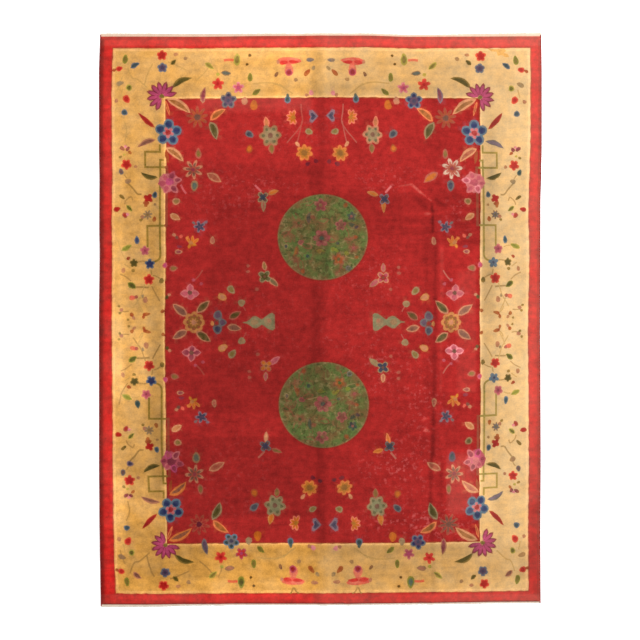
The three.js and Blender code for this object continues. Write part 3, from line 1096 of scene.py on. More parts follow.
def drift(points, quarter):
    """Shift of a quarter at points of the chart."""
    rows = [row for row in rows_of(DRIFTS) if row["quarter"] == quarter]
    along = [row["along"] for row in rows]
    shifts = np.array(
        [[row[f"at_{place}"].split(",") for place in DRIFT_ACROSS] for row in rows], dtype=float
    )
    moved = []
    for axis in (0, 1):
        columns = [np.interp(points[:, 1], along, column) for column in shifts[:, :, axis].T]
        columns = np.array(columns)
        share = np.interp(points[:, 0], DRIFT_ACROSS, range(len(DRIFT_ACROSS)))
        left = np.minimum(share.astype(int), len(DRIFT_ACROSS) - 2)
        every = np.arange(len(points))
        share = share - left
        moved.append(columns[left, every] * (1 - share) + columns[left + 1, every] * share)
    return np.column_stack(moved)


def mirrored(points, quarter):
    """Points of the chart where a quarter has them."""
    moved = points + drift(points, quarter)
    if quarter.endswith("right"):
        moved[:, 0] = PHOTO_SIZE - moved[:, 0]
    if quarter.startswith("near"):
        moved[:, 1] = PHOTO_SIZE - moved[:, 1]
    return moved


def outline_moved(outline, out):
    """A border's outline moved out by a distance, each side by itself."""
    points = np.array(outline, dtype=float)
    low, high = points.min(axis=0), points.max(axis=0)
    points = points - out * (points < low + OUTLINE_SIDE)
    return points + out * (points > high - OUTLINE_SIDE)


def finer(points, step):
    """A closed outline with points added so that none of its edges is longer than a step."""
    filled = []
    for start, end in zip(points, np.roll(points, -1, axis=0), strict=True):
        count = max(int(np.hypot(*(end - start)) / step), 1)
        filled += [start + (end - start) * share / count for share in range(count)]
    return np.array(filled)


class Chart:
    """The rug's design as areas of dye, in millimetres on the even sheet."""

    def __init__(self):
        self.areas = []
        self.collars = []
        self.random = random.Random(SEED)

    def add(self, pixels, dye, wear, plain=True):
        """One area, given in pixels of the photograph, taken round to the left."""
        points = on_sheet(pixels)
        x, y = points.T
        if np.sum(x * np.roll(y, -1) - np.roll(x, -1) * y) < 0:
            points = points[::-1]
        self.areas.append((points, dye, wear, plain))

    def collar(self):
        """Points round the last area, within which its dye mingles with the ground's."""
        points = self.areas[-1][0]
        along = np.roll(points, -1, axis=0) - np.roll(points, 1, axis=0)
        along /= np.hypot(*along.T)[:, None]
        out = np.column_stack((along[:, 1], -along[:, 0]))
        self.collars.append((points + out * COLLAR * PIXEL_MM)[::2])

    def uneven(self, points, reach):
        """An outline with small random shifts of its points, as of single knots."""
        steps = np.hypot(*(np.roll(points, -1, axis=0) - points).T)
        reach = min(reach, steps.min() * WAVER_SHARE)
        return points + [[self.random.uniform(-reach, reach) for _ in range(2)] for _ in points]

    def band(self, outline, out, dye, wear):
        """A border line or field, with the slight waver of hand knotting."""
        points = finer(outline_moved(outline, out), OUTLINE_STEP)
        self.add(self.uneven(points, OUTLINE_WAVER), dye, wear)

    def repeat(self, layers, copies, free, wear="motif"):
        """A motif in each of its quarters, drifted and mirrored there, each a little different."""
        for number, quarter in enumerate(COPIES[copies]):
            shift = [self.random.uniform(-1, 1) * REPEAT_SHIFT * free for _ in range(2)]
            turn = math.radians(self.random.uniform(-1, 1) * REPEAT_TURN * free)
            size = 1 + self.random.uniform(-1, 1) * REPEAT_SIZE * free
            middle = layers[0][0].mean(axis=0)
            spin = size * np.array(
                ((math.cos(turn), -math.sin(turn)), (math.sin(turn), math.cos(turn)))
            )
            for depth, (outline, dyes) in enumerate(layers):
                options = dyes.split("/")
                dye = options[number * len(options) // len(COPIES[copies])]
                if dye == "none":
                    continue
                points = middle + (outline - middle) @ spin + shift
                points = self.uneven(points, EDGE_WAVER * free)
                self.add(mirrored(points, quarter), dye, wear, depth == 0)
                self.collar()

    def roundels(self):
        """The two green roundels, each with a flowering branch, the near one mirrored."""
        layers = []
        for table, layers_of in (
            (SPRAY_STEMS, stem_layers),
            (SPRAY_LEAVES, leaf_layers),
            (SPRAY_FLOWERS, flower_layers),
            (SPRAY_BUDS, bud_layers),
        ):
            for row in rows_of(table):
                layers += layers_of(row)
        for (x, y), end in zip(ROUNDEL_MIDDLES, (1, -1), strict=True):
            angle = np.arange(ROUNDEL_STEPS) * 2 * math.pi / ROUNDEL_STEPS
            whole = np.column_stack((np.cos(angle), np.sin(angle))) * ROUNDEL_RADII + (x, y)
            rim = ROUNDEL_RIM / ROUNDEL_RADII[0]
            self.add(grown(whole, 1 + rim), "field_edge", "field")
            self.add(whole, "roundel_rim", "roundel")
            self.add(grown(whole, 1 - rim), "roundel_green", "roundel")
            for outline, dye in layers:
                if dye != "none":
                    points = self.uneven(outline, EDGE_WAVER) * (1, end) + (x, y)
                    self.add(points, dye, "spray", False)
                    self.collar()


def rug_chart():
    """The whole design, from the ground up."""
    chart = Chart()
    for outline, out, dye, wear in BANDS:
        chart.band(outline, out, dye, wear)
    chart.add(finer(np.array(STAIN_OUTLINE), RIBBON_STEP), "gold_stain", "motif")
    chart.collar()
    chart.roundels()
    for row in rows_of(STEMS):
        layers = [(finer(outline, RIBBON_STEP), dye) for outline, dye in stem_layers(row)]
        wear = "motif" if row["dye"].startswith("fret") else "line"
        chart.repeat(layers, row["copies"], 0, wear)
    chart.repeat(vase_layers(), "sides", 1)
    chart.repeat(heart_layers(), "quarters", 1)
    for table, layers_of in (
        (LEAVES, leaf_layers),
        (FANS, fan_layers),
        (BUDS, bud_layers),
        (FLOWERS, flower_layers),
    ):
        for row in rows_of(table):
            chart.repeat(layers_of(row), row["copies"], 1)
    return chart


# Meshes

ALL_TRIANGLES = 0
SAME_POINT_MM = 1e-4
PLACE_DIGITS = 2
RIM_MM = 0.01
SHARP_ANGLE = math.radians(50)


def grid_lines(half, spacing):
    """Lines across one direction: those of the pile's rounded edge, then even ones."""
    insets = [inset for inset, _ in PILE_EDGE]
    reach = half - insets[-1]
    count = round(2 * reach / spacing)
    even = np.linspace(-reach, reach, count + 1)
    edges = np.array(insets[:-1])
    return np.concatenate((edges - half, even, (half - edges)[::-1]))


def on_sheet(pixels):
    """Millimetres on the even sheet of points given in pixels of the photograph."""
    return (np.asarray(pixels) - PHOTO_MIDDLE) * (PIXEL_MM, -PIXEL_MM)


def in_photo(points):
    """Pixels of the photograph of points given in millimetres on the even sheet."""
    return points / (PIXEL_MM, -PIXEL_MM) + PHOTO_MIDDLE


def soft_step(distance, soft):
    """One inside, nought outside, with a soft edge about a distance of nought."""
    share = np.clip(0.5 - distance / soft, 0, 1)
    return share * share * (3 - 2 * share)


def painted_light_runs():
    """Runs of the nap's lie and of painted light and shade, with their start, aim and length in pixels.
    """
    for row in rows_of(NAP_AND_PAINTED_LIGHT):
        start = np.array((row["from_x"], row["from_y"]))
        run = np.array((row["to_x"], row["to_y"])) - start
        length = np.hypot(*run)
        yield row, start, run / length, length


def painted_light_share(pixels):
    """Share by which the lie of the pile and painted light and shade make it look lighter or darker."""
    total = np.zeros(len(pixels))
    for row, start, aim, length in painted_light_runs():
        off = pixels - start
        along = off @ aim
        across = np.abs(off @ (aim[1], -aim[0]))
        beyond = np.maximum(-along, along - length)
        inside = soft_step(across - row["reach"], row["soft"])
        total += row["shade"] * inside * soft_step(beyond, row["soft"])
    return total


def worn_share(pixels):
    """Share of worn specks."""
    total = np.zeros(len(pixels))
    for row in rows_of(WORN):
        off = (pixels - (row["x"], row["y"])) / (row["reach_x"], row["reach_y"])
        total += row["amount"] * np.exp(-(off**2).sum(axis=1))
    return np.minimum(total, 1)


def painted_light_points():
    """Points along the sharper edges of the painted light and shade, on which the sheet can carry them.
    """
    points = []
    for row, start, aim, length in painted_light_runs():
        if row["soft"] > PAINTED_LIGHT_GRID:
            continue
        places = np.arange(0, length, PAINTED_LIGHT_STEP)[:, None]
        for edge in (row["reach"] - row["soft"] / 2, row["reach"] + row["soft"] / 2):
            for side in (-1, 1):
                points.append(start + places * aim + side * edge * np.array((aim[1], -aim[0])))
    return on_sheet(np.vstack(points))


def knotted_sheet(sizes, areas, loose):
    """Triangles of the flat pile with the dye area that each lies in, millimetres."""
    half_width = sizes.width / MM / 2 - sizes.cord_width / MM
    half_length = sizes.length / MM / 2 - sizes.web_width / MM
    columns = grid_lines(half_width, sizes.knot_grid / MM)
    rows = grid_lines(half_length, sizes.knot_grid / MM)
    across, along = np.meshgrid(columns, rows)
    points = [np.column_stack((across.ravel(), along.ravel())), *loose]
    faces = []
    count = sum(map(len, points))
    for outline, *_ in areas:
        points.append(outline)
        faces.append(list(range(count, count + len(outline))))
        count += len(outline)
    corners, _, triangles, _, _, owners = delaunay_2d_cdt(
        np.vstack(points).tolist(), [], faces, ALL_TRIANGLES, SAME_POINT_MM, True
    )
    corners = np.array([tuple(corner) for corner in corners])
    tops = np.array([max(areas_here, default=-1) for areas_here in owners])
    return corners, np.array(triangles), tops


def area_colours(dyes, areas, tops):
    """Dye, wear and share of painted sheen of each triangle, in one row."""
    wears_and_sheen = {row["area"]: [row[name] for name in WEAR_AND_SHEEN_COLUMNS] for row in rows_of(WEAR_AND_SHEEN)}
    palette = [(*getattr(dyes, dye), *wears_and_sheen[wear]) for _, dye, wear, _ in areas]
    palette.append((*dyes.guard_dark, *wears_and_sheen["guard"]))
    return np.array(palette)[tops]


def mingled(flat, triangles, colours):
    """Colour at each point, from the triangles about it, each by its angle there."""
    total = np.zeros((len(flat), colours.shape[1] + 1))
    for corner in range(3):
        here = flat[triangles[:, corner]]
        ahead = flat[triangles[:, (corner + 1) % 3]] - here
        behind = flat[triangles[:, (corner + 2) % 3]] - here
        turn = ahead[:, 0] * behind[:, 1] - ahead[:, 1] * behind[:, 0]
        angle = np.arctan2(np.abs(turn), (ahead * behind).sum(axis=1))
        weighed = np.column_stack((colours, np.ones(len(colours)))) * angle[:, None]
        np.add.at(total, triangles[:, corner], weighed)
    return total[:, :-1] / total[:, -1:]


def rim_of(triangles):
    """Directed edges of the triangles that no other triangle shares."""
    edges = np.vstack((triangles[:, :2], triangles[:, 1:], triangles[:, ::2][:, ::-1]))
    ordered = np.sort(edges, axis=1)
    _, first, counts = np.unique(ordered, axis=0, return_index=True, return_counts=True)
    return edges[first[counts == 1]]


def new_object(name, mesh):
    """An object of a mesh, at the origin, in the scene."""
    made = bpy.data.objects.new(name, mesh)
    bpy.context.scene.collection.objects.link(made)
    return made


def enter_frame(piece):
    """Ties a finished piece to the frame."""
    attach(piece, "root")
    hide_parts(RUG_NODE)


UV_SCALE = 0.275
UV_CORNER = (0.02, 0.014)
UV_SKIRT = 0.0028
BACK_UV_SCALE = 0.075
BACK_UV_CORNER = (0.79, 0.02)


def sheet_uv(face, back, wall_rim, wall_sides):
    """Corner coordinates of the face, the back and the walls, each in a place of its own."""
    low = face[0].min(axis=0)[:2]
    face_map = (face[0][:, :2] - low) * UV_SCALE + UV_CORNER
    back_map = (back[0][:, :2] - low) * BACK_UV_SCALE + BACK_UV_CORNER
    skirt = face_map + wall_sides * UV_SKIRT
    start, end = wall_rim.T
    walls = np.stack((face_map[end], face_map[start], skirt[start], skirt[end]), axis=1)
    return np.vstack(
        (
            face_map[face[1]].reshape(-1, 2),
            back_map[back[1]].reshape(-1, 2),
            walls.reshape(-1, 2),
        )
    )


def places_in(points, others):
    """For each point, the number of the other point in the same place."""
    known = np.round(others, PLACE_DIGITS).tolist()
    numbers = {tuple(place): number for number, place in enumerate(known)}
    return np.array([numbers[tuple(place)] for place in np.round(points, PLACE_DIGITS).tolist()])


def set_attribute(mesh, name, kind, domain, key, values):
    """An attribute of a mesh with its values."""
    attribute = mesh.attributes.new(name, kind, domain)
    attribute.data.foreach_set(key, values.astype(np.float32).ravel())


def pile_mesh(sizes, dyes):
    """The closed sheet of pile: its face, its back and its cut walls."""
    chart = rug_chart()
    plain = [area for area in chart.areas if area[-1]]
    flat, triangles, tops = knotted_sheet(sizes, chart.areas, [painted_light_points(), *chart.collars])
    under_flat, under_triangles, under_tops = knotted_sheet(sizes, plain, [])
    under_triangles = under_triangles[:, ::-1]
    face_height = pile_height(sizes, *flat.T) + fold_rise(*flat.T)
    face = np.column_stack((*wandered(sizes, *flat.T), face_height)) * MM
    back_height = np.maximum(fold_rise(*under_flat.T), 0)
    back = np.column_stack((*wandered(sizes, *under_flat.T), back_height)) * MM
    rim = rim_of(triangles)
    count = len(flat)
    under_rim = places_in(flat[rim.ravel()], under_flat).reshape(-1, 2) + count
    walls = np.column_stack((rim[:, ::-1], under_rim))
    mesh = bpy.data.meshes.new("rug_pile")
    faces = triangles.tolist() + (under_triangles + count).tolist() + walls.tolist()
    mesh.from_pydata(np.vstack((face, back)).tolist(), [], faces)

    colours = area_colours(dyes, chart.areas, tops)
    under_colours = area_colours(dyes, plain, under_tops)
    wall_colours = area_colours(dyes, [], np.zeros(len(rim), dtype=int))
    every = np.vstack((colours, under_colours, wall_colours))
    set_attribute(mesh, "dye", "FLOAT_COLOR", "FACE", "color", every[:, :4])
    set_attribute(mesh, "wear", "FLOAT_VECTOR", "FACE", "vector", every[:, 4:])
    # each triangle's share of painted sheen, with the unevenness of its dye and its worn specks
    soft = mingled(flat, triangles, colours[:, :4])
    under_soft = mingled(under_flat, under_triangles, under_colours[:, :4])
    mingling = np.vstack((soft, under_soft))
    set_attribute(mesh, "dye_soft", "FLOAT_COLOR", "POINT", "color", mingling)
    places = in_photo(np.vstack((flat, under_flat)))
    # painted light and shade: lighter and darker panels, lit and shaded flanks of the folds and darker
    # edges, with the lie of the nap
    set_attribute(mesh, "nap", "FLOAT", "POINT", "value", painted_light_share(places))
    set_attribute(mesh, "worn", "FLOAT", "POINT", "value", worn_share(places))

    half = np.abs(flat).max(axis=0)
    wall_sides = np.sign(flat) * (np.abs(flat) > half - RIM_MM)
    uv_map = mesh.uv_layers.new(name="OFBake")
    uvs = sheet_uv((face, triangles), (back, under_triangles), rim, wall_sides)
    uv_map.data.foreach_set("uv", uvs.astype(np.float32).ravel())

    slots = np.zeros(len(mesh.polygons), dtype=np.int32)
    slots[len(triangles) : len(triangles) + len(under_triangles)] = 1
    mesh.polygons.foreach_set("material_index", slots)
    mesh.polygons.foreach_set("use_smooth", np.ones(len(mesh.polygons), dtype=bool))
    mesh.set_sharp_from_angle(angle=SHARP_ANGLE)
    mesh.update()
    return mesh


# Material nodes


def socket_of(sockets, identifier):
    """The socket that has an identifier."""
    return next(socket for socket in sockets if socket.identifier == identifier)


def give(tree, socket, value):
    """Links a value to a socket, or sets it there where it is a constant."""
    if isinstance(value, bpy.types.NodeSocket):
        tree.links.new(value, socket)
    else:
        socket.default_value = value


def add_node(tree, kind, inputs=None, **settings):
    """A node with its settings, its inputs set or linked by name or number."""
    made = tree.nodes.new(kind)
    for name, value in settings.items():
        setattr(made, name, value)
    for name, value in (inputs or {}).items():
        give(tree, made.inputs[name], value)
    return made


def noise(tree, place, scale, detail=2.0, stretch=None):
    """Noise at a place, from 0 to 1, with an optional stretch of the place."""
    if stretch:
        place = add_node(
            tree, "ShaderNodeMapping", {"Vector": place, "Scale": stretch}
        ).outputs["Vector"]
    made = add_node(
        tree, "ShaderNodeTexNoise", {"Vector": place, "Scale": scale, "Detail": detail}
    )
    return made.outputs["Fac"]


def ranged(tree, value, low, high, to_low, to_high, soft=False):
    """A value mapped from one range to another and held within it."""
    made = add_node(
        tree,
        "ShaderNodeMapRange",
        {"Value": value, "From Min": low, "From Max": high, "To Min": to_low, "To Max": to_high},
        clamp=True,
        interpolation_type="SMOOTHSTEP" if soft else "LINEAR",
    )
    return made.outputs["Result"]


def maths(tree, operation, first, second):
    """Result of a sum on two values."""
    return add_node(
        tree, "ShaderNodeMath", {0: first, 1: second}, operation=operation
    ).outputs["Value"]


def blended(tree, share, first, second):
    """Two colours mixed by a share."""
    made = add_node(tree, "ShaderNodeMix", data_type="RGBA")
    for name, value in (("Factor_Float", share), ("A_Color", first), ("B_Color", second)):
        give(tree, socket_of(made.inputs, name), value)
    return socket_of(made.outputs, "Result_Color")


def scaled(tree, colour, factor):
    """A colour made lighter or darker by a factor."""
    made = add_node(tree, "ShaderNodeVectorMath", {0: colour, "Scale": factor}, operation="SCALE")
    return made.outputs["Vector"]


# Uneven dye: scale and detail of each noise, the range taken from it, and how far it reaches
MOTTLES = """
name     scale detail low  high reach
patches    6     2    0.3  0.7  0.6
blotches  28     3    0.3  0.7  1.0
wefts      1     2    0.3  0.7  0.45
grain    130     1    0.25 0.75 1.0
"""
WEFT_STRETCH = (5.0, 40.0, 1.0)
YARN_SCALE = 420.0


def yarn_mottle_group():
    """Node group for dyed yarn: uneven dye in patches, blotches and weft lines, and a grain."""
    name = "yarn_mottle"
    if name in bpy.data.node_groups:
        return bpy.data.node_groups[name]
    group = bpy.data.node_groups.new(name, "ShaderNodeTree")
    face = group.interface
    face.new_socket("Place", in_out="INPUT", socket_type="NodeSocketVector")
    face.new_socket("Dye", in_out="INPUT", socket_type="NodeSocketColor")
    face.new_socket("Uneven", in_out="INPUT", socket_type="NodeSocketFloat")
    face.new_socket("Grain", in_out="INPUT", socket_type="NodeSocketFloat")
    face.new_socket("Colour", in_out="OUTPUT", socket_type="NodeSocketColor")
    face.new_socket("Height", in_out="OUTPUT", socket_type="NodeSocketFloat")
    given = group.nodes.new("NodeGroupInput")
    place = given.outputs["Place"]
    marks = {}
    for row in rows_of(MOTTLES):
        stretch = WEFT_STRETCH if row["name"] == "wefts" else None
        mark = noise(group, place, row["scale"], row["detail"], stretch)
        reach = row["reach"]
        marks[row["name"]] = ranged(group, mark, row["low"], row["high"], -reach, reach)
    uneven = maths(group, "ADD", marks["patches"], marks["blotches"])
    uneven = maths(group, "ADD", uneven, marks["wefts"])
    uneven = maths(group, "MULTIPLY", uneven, given.outputs["Uneven"])
    grainy = maths(group, "MULTIPLY", marks["grain"], given.outputs["Grain"])
    gain = maths(group, "ADD", maths(group, "ADD", uneven, grainy), 1.0)
    taken = group.nodes.new("NodeGroupOutput")
    group.links.new(scaled(group, given.outputs["Dye"], gain), taken.inputs["Colour"])
    group.links.new(noise(group, place, YARN_SCALE), taken.inputs["Height"])
    return group


def mottled(tree, place, dye, uneven, grain):
    """The yarn mottle group placed in a material."""
    made = add_node(tree, "ShaderNodeGroup", node_tree=yarn_mottle_group())
    for name, value in (("Place", place), ("Dye", dye), ("Uneven", uneven), ("Grain", grain)):
        give(tree, made.inputs[name], value)
    return made


def blank_material(name):
    """A material with its node tree, its shader and Object coordinates."""
    made = bpy.data.materials.new(name)
    made.use_nodes = True
    tree = made.node_tree
    shader = tree.nodes["Principled BSDF"]
    place = tree.nodes.new("ShaderNodeTexCoord").outputs["Object"]
    return made, tree, shader, place


# Matt wool and cotton
YARN_FINISH = {
    "Roughness": 0.95,
    "Specular IOR Level": 0.05,
    "Sheen Weight": 0.03,
    "Sheen Roughness": 0.6,
}


def finish_yarn(tree, shader, colour, height, strength, distance):
    """Links a yarn's colour and bump to its shader and sets its matt finish."""
    bump = add_node(
        tree, "ShaderNodeBump", {"Height": height, "Strength": strength, "Distance": distance}
    )
    tree.links.new(colour, shader.inputs["Base Color"])
    tree.links.new(bump.outputs["Normal"], shader.inputs["Normal"])
    for name, value in YARN_FINISH.items():
        shader.inputs[name].default_value = value


# Stray knots: a green, then linear colours over it, each with the scale and detail of its noise,
# the range taken from the noise, and the shares of the colour at both ends of that range
STRAY_GREEN = (0.085, 0.135, 0.035, 1.0)
STRAYS = """
red   green blue  scale detail low  high from to
0.17  0.065 0.03   11     4    0.42 0.60 0.0  1.0
0.27  0.19  0.085  38     2    0.56 0.66 0.0  0.8
0.03  0.035 0.012  46     2    0.36 0.44 0.8  0.0
"""


def stray_knots(tree, place):
    """Wool of mixed greens, browns and tans, by turns."""
    colour = STRAY_GREEN
    for row in rows_of(STRAYS):
        mark = noise(tree, place, row["scale"], row["detail"])
        share = ranged(tree, mark, row["low"], row["high"], row["from"], row["to"])
        colour = blended(tree, share, colour, (row["red"], row["green"], row["blue"], 1.0))
    return colour


# Painted sheen that pales the pile towards the light: a range in metres across or along the rug, then the
# sheen at both its ends
SHEEN_ACROSS = (-0.06, 0.06, 0.05, 0.11)
SHEEN_SIDE = (0.6, 1.2, 0.0, 0.08)
SHEEN_NEAR = (-1.6, -1.0, -0.05, 0.0)
SHEEN_ENDS = (1.69, 1.70, 0.0, 0.08)
SHEEN_PATCHES = (9.0, 3.0)
SHEEN_PATCHY = (0.3, 0.7, -0.03, 0.03)


def painted_sheen(tree, place):
    """Share of painted sheen that pales the pile towards the light: more right of the middle fold, most
    along the right side.
    """
    split = add_node(tree, "ShaderNodeSeparateXYZ", {"Vector": place})
    x, y = split.outputs["X"], split.outputs["Y"]
    across = ranged(tree, x, *SHEEN_ACROSS, soft=True)
    side = ranged(tree, x, *SHEEN_SIDE)
    near = ranged(tree, y, *SHEEN_NEAR)
    patchy = ranged(tree, noise(tree, place, *SHEEN_PATCHES), *SHEEN_PATCHY)
    ends = ranged(tree, maths(tree, "ABSOLUTE", y, 0.0), *SHEEN_ENDS)
    sheen_paled = maths(tree, "ADD", maths(tree, "ADD", across, side), maths(tree, "ADD", near, patchy))
    return maths(tree, "ADD", sheen_paled, ends)


# The pile: linear colours of the painted sheen and of worn wool, how far the tips mingle, unevenness and
# grain of the dye, noise and range of the worn specks, range of the painted glint, strength and depth of
# the bump
SHEEN_PALE = (0.95, 0.95, 0.70, 1.0)
SPECK = (0.72, 0.17, 0.16, 1.0)
MINGLING = 0.45
PILE_UNEVEN = 0.11
PILE_GRAIN = 0.14
SPECK_NOISE = (50.0, 2.0)
SPECK_SPREAD = 0.1
SPECK_RANGE = (0.6, 0.78, 0.0, 0.36)
GLINT_RANGE = (0.25, 0.65, 0.0, 0.06)
PILE_BUMP = (0.35, 0.002)


def pile_material():
    """Cut wool pile in the charted dyes, paled by a painted sheen towards the light, with painted light
    and shade along its folds and in the lie of its nap, worn in specks.
    """
    material, tree, shader, place = blank_material("cut_wool_pile")
    dye = add_node(tree, "ShaderNodeAttribute", attribute_name="dye")
    soft = add_node(tree, "ShaderNodeAttribute", attribute_name="dye_soft")
    wear = add_node(tree, "ShaderNodeAttribute", attribute_name="wear")
    nap = add_node(tree, "ShaderNodeAttribute", attribute_name="nap")
    wears_and_sheen = add_node(tree, "ShaderNodeSeparateXYZ", {"Vector": wear.outputs["Vector"]}).outputs
    tips = blended(tree, MINGLING, dye.outputs["Color"], soft.outputs["Color"])
    tips = blended(tree, dye.outputs["Alpha"], tips, stray_knots(tree, place))
    uneven = maths(tree, "MULTIPLY", wears_and_sheen["Y"], PILE_UNEVEN)
    yarn = mottled(tree, place, tips, uneven, PILE_GRAIN)

    # painted sheen: the colour pales towards the right side, where the light falls, by each area's share
    sheen_paled = maths(tree, "MULTIPLY", painted_sheen(tree, place), wears_and_sheen["X"])
    colour = blended(tree, sheen_paled, yarn.outputs["Colour"], SHEEN_PALE)
    worn = add_node(tree, "ShaderNodeAttribute", attribute_name="worn").outputs["Fac"]
    spread = maths(tree, "MULTIPLY", worn, SPECK_SPREAD)
    reach = maths(tree, "ADD", noise(tree, place, *SPECK_NOISE), spread)
    specks = ranged(tree, reach, *SPECK_RANGE)
    specks = maths(tree, "MULTIPLY", specks, maths(tree, "MULTIPLY", worn, wears_and_sheen["Z"]))
    colour = blended(tree, specks, colour, SPECK)
    # painted light and shade from the nap attribute, then a painted glint that pales its lightest, lit
    # flanks
    colour = scaled(tree, colour, maths(tree, "ADD", nap.outputs["Fac"], 1.0))
    glint = ranged(tree, nap.outputs["Fac"], *GLINT_RANGE)
    colour = blended(tree, glint, colour, SHEEN_PALE)
    finish_yarn(tree, shader, colour, yarn.outputs["Height"], *PILE_BUMP)
    return material


def threads(tree, place, scale, distortion, direction):
    """Lines of threads across one direction, from 0 to 1."""
    made = add_node(
        tree,
        "ShaderNodeTexWave",
        {"Vector": place, "Scale": scale, "Distortion": distortion},
        bands_direction=direction,
    )
    return made.outputs["Fac"]


# The back, the overcast yarn and the web: unevenness and grain of the dye, threads, range of the
# shade between threads or of the redder tops of the wraps, strength and depth of the bump
BACK_MOTTLE = (0.08, 0.2)
BACK_WEFTS = (60.0, 0.6, "Y")
BACK_SHADE = (0.0, 1.0, 0.55, 1.0)
BACK_BUMP = (0.5, 0.002)
OVERCAST_MOTTLE = (0.12, 0.3)
OVERCAST_TOP_TINT = (0.0045, 0.0075, 0.0, 0.45)
OVERCAST_BUMP = (0.4, 0.001)
WEB_MOTTLE = (0.08, 0.12)
WEB_RIBS = (110.0, 0.4, "Y")
WEB_WARPS = (140.0, 0.4, "X")
WEB_SHADE = (0.0, 0.6, 0.93, 1.0)
WEB_BUMP = (0.5, 0.001)


def back_material():
    """The rug's back: the same knots seen from behind, with the lines of its wefts."""
    material, tree, shader, place = blank_material("knotted_back")
    dye = add_node(tree, "ShaderNodeAttribute", attribute_name="dye")
    yarn = mottled(tree, place, dye.outputs["Color"], *BACK_MOTTLE)
    wefts = threads(tree, place, *BACK_WEFTS)
    colour = scaled(tree, yarn.outputs["Colour"], ranged(tree, wefts, *BACK_SHADE))
    finish_yarn(tree, shader, colour, wefts, *BACK_BUMP)
    return material


def overcast_material(dyes):
    """Dark yarn wrapped over the sides, redder towards the top of its wraps."""
    material, tree, shader, place = blank_material("overcast_yarn")
    yarn = mottled(tree, place, (*dyes.maroon, 1.0), *OVERCAST_MOTTLE)
    height = add_node(tree, "ShaderNodeSeparateXYZ", {"Vector": place}).outputs["Z"]
    # the wraps turn redder towards their top, by height alone
    top_tint = ranged(tree, height, *OVERCAST_TOP_TINT)
    colour = blended(tree, top_tint, yarn.outputs["Colour"], (*dyes.guard_red, 1.0))
    finish_yarn(tree, shader, colour, yarn.outputs["Height"], *OVERCAST_BUMP)
    return material


def web_material(dyes):
    """Woven cotton web, ribbed by its wefts and a little soiled."""
    material, tree, shader, place = blank_material("cotton_web")
    yarn = mottled(tree, place, (*dyes.cotton, 1.0), *WEB_MOTTLE)
    ribs = threads(tree, place, *WEB_RIBS)
    warps = threads(tree, place, *WEB_WARPS)
    weave = maths(tree, "MULTIPLY", ribs, warps)
    colour = scaled(tree, yarn.outputs["Colour"], ranged(tree, weave, *WEB_SHADE))
    stain = add_node(tree, "ShaderNodeAttribute", attribute_name="stain").outputs["Fac"]
    colour = blended(tree, stain, colour, (*dyes.web_stain, 1.0))
    finish_yarn(tree, shader, colour, weave, *WEB_BUMP)
    return material


# Overcast sides

WRAP_HEIGHT = 0.0068
WRAP_LEAN = math.radians(24)
WRAP_BEAD = {"Segments": 8, "Rings": 6, "Radius": 0.5}
WRAP_OVERLAP = 1.35
WRAP_UNEVEN = {"Min_001": 0.7, "Max_001": 1.3}
SIDE_SHORT = 0.4
SIDE_POINTS = 90


def wrap_tree():
    """Geometry nodes that wrap a yarn along a line: one leaning bead of yarn at each pitch."""
    tree = bpy.data.node_groups.new("overcast_wraps", "GeometryNodeTree")
    face = tree.interface
    face.new_socket("Geometry", in_out="INPUT", socket_type="NodeSocketGeometry")
    for name in ("Pitch", "Width", "Height", "Lean"):
        face.new_socket(name, in_out="INPUT", socket_type="NodeSocketFloat")
    face.new_socket("Yarn", in_out="INPUT", socket_type="NodeSocketMaterial")
    face.new_socket("Geometry", in_out="OUTPUT", socket_type="NodeSocketGeometry")
    given = tree.nodes.new("NodeGroupInput").outputs
    line = add_node(tree, "GeometryNodeMeshToCurve", {"Mesh": given["Geometry"]})
    line = add_node(
        tree,
        "GeometryNodeResampleCurve",
        {"Curve": line.outputs["Curve"], "Length": given["Pitch"]},
        mode="LENGTH",
    )
    bead = add_node(tree, "GeometryNodeMeshUVSphere", WRAP_BEAD)
    long = maths(tree, "MULTIPLY", given["Pitch"], WRAP_OVERLAP)
    size = add_node(
        tree, "ShaderNodeCombineXYZ", {"X": given["Width"], "Y": long, "Z": given["Height"]}
    )
    uneven = add_node(tree, "FunctionNodeRandomValue", {"Seed": SEED}, data_type="FLOAT")
    for identifier, value in WRAP_UNEVEN.items():
        give(tree, socket_of(uneven.inputs, identifier), value)
    leaning = maths(tree, "MULTIPLY", given["Lean"], socket_of(uneven.outputs, "Value_001"))
    turn = add_node(tree, "ShaderNodeCombineXYZ", {"Z": leaning})
    rotation = add_node(tree, "FunctionNodeEulerToRotation", {"Euler": turn.outputs["Vector"]})
    wraps = add_node(
        tree,
        "GeometryNodeInstanceOnPoints",
        {
            "Points": line.outputs["Curve"],
            "Instance": bead.outputs["Mesh"],
            "Rotation": rotation.outputs["Rotation"],
            "Scale": size.outputs["Vector"],
        },
    )
    real = add_node(tree, "GeometryNodeRealizeInstances", {"Geometry": wraps.outputs["Instances"]})
    smooth = add_node(tree, "GeometryNodeSetShadeSmooth", {"Geometry": real.outputs["Geometry"]})
    dressed = add_node(
        tree,
        "GeometryNodeSetMaterial",
        {"Geometry": smooth.outputs["Geometry"], "Material": given["Yarn"]},
    )
    taken = tree.nodes.new("NodeGroupOutput")
    tree.links.new(dressed.outputs["Geometry"], taken.inputs["Geometry"])
    return tree


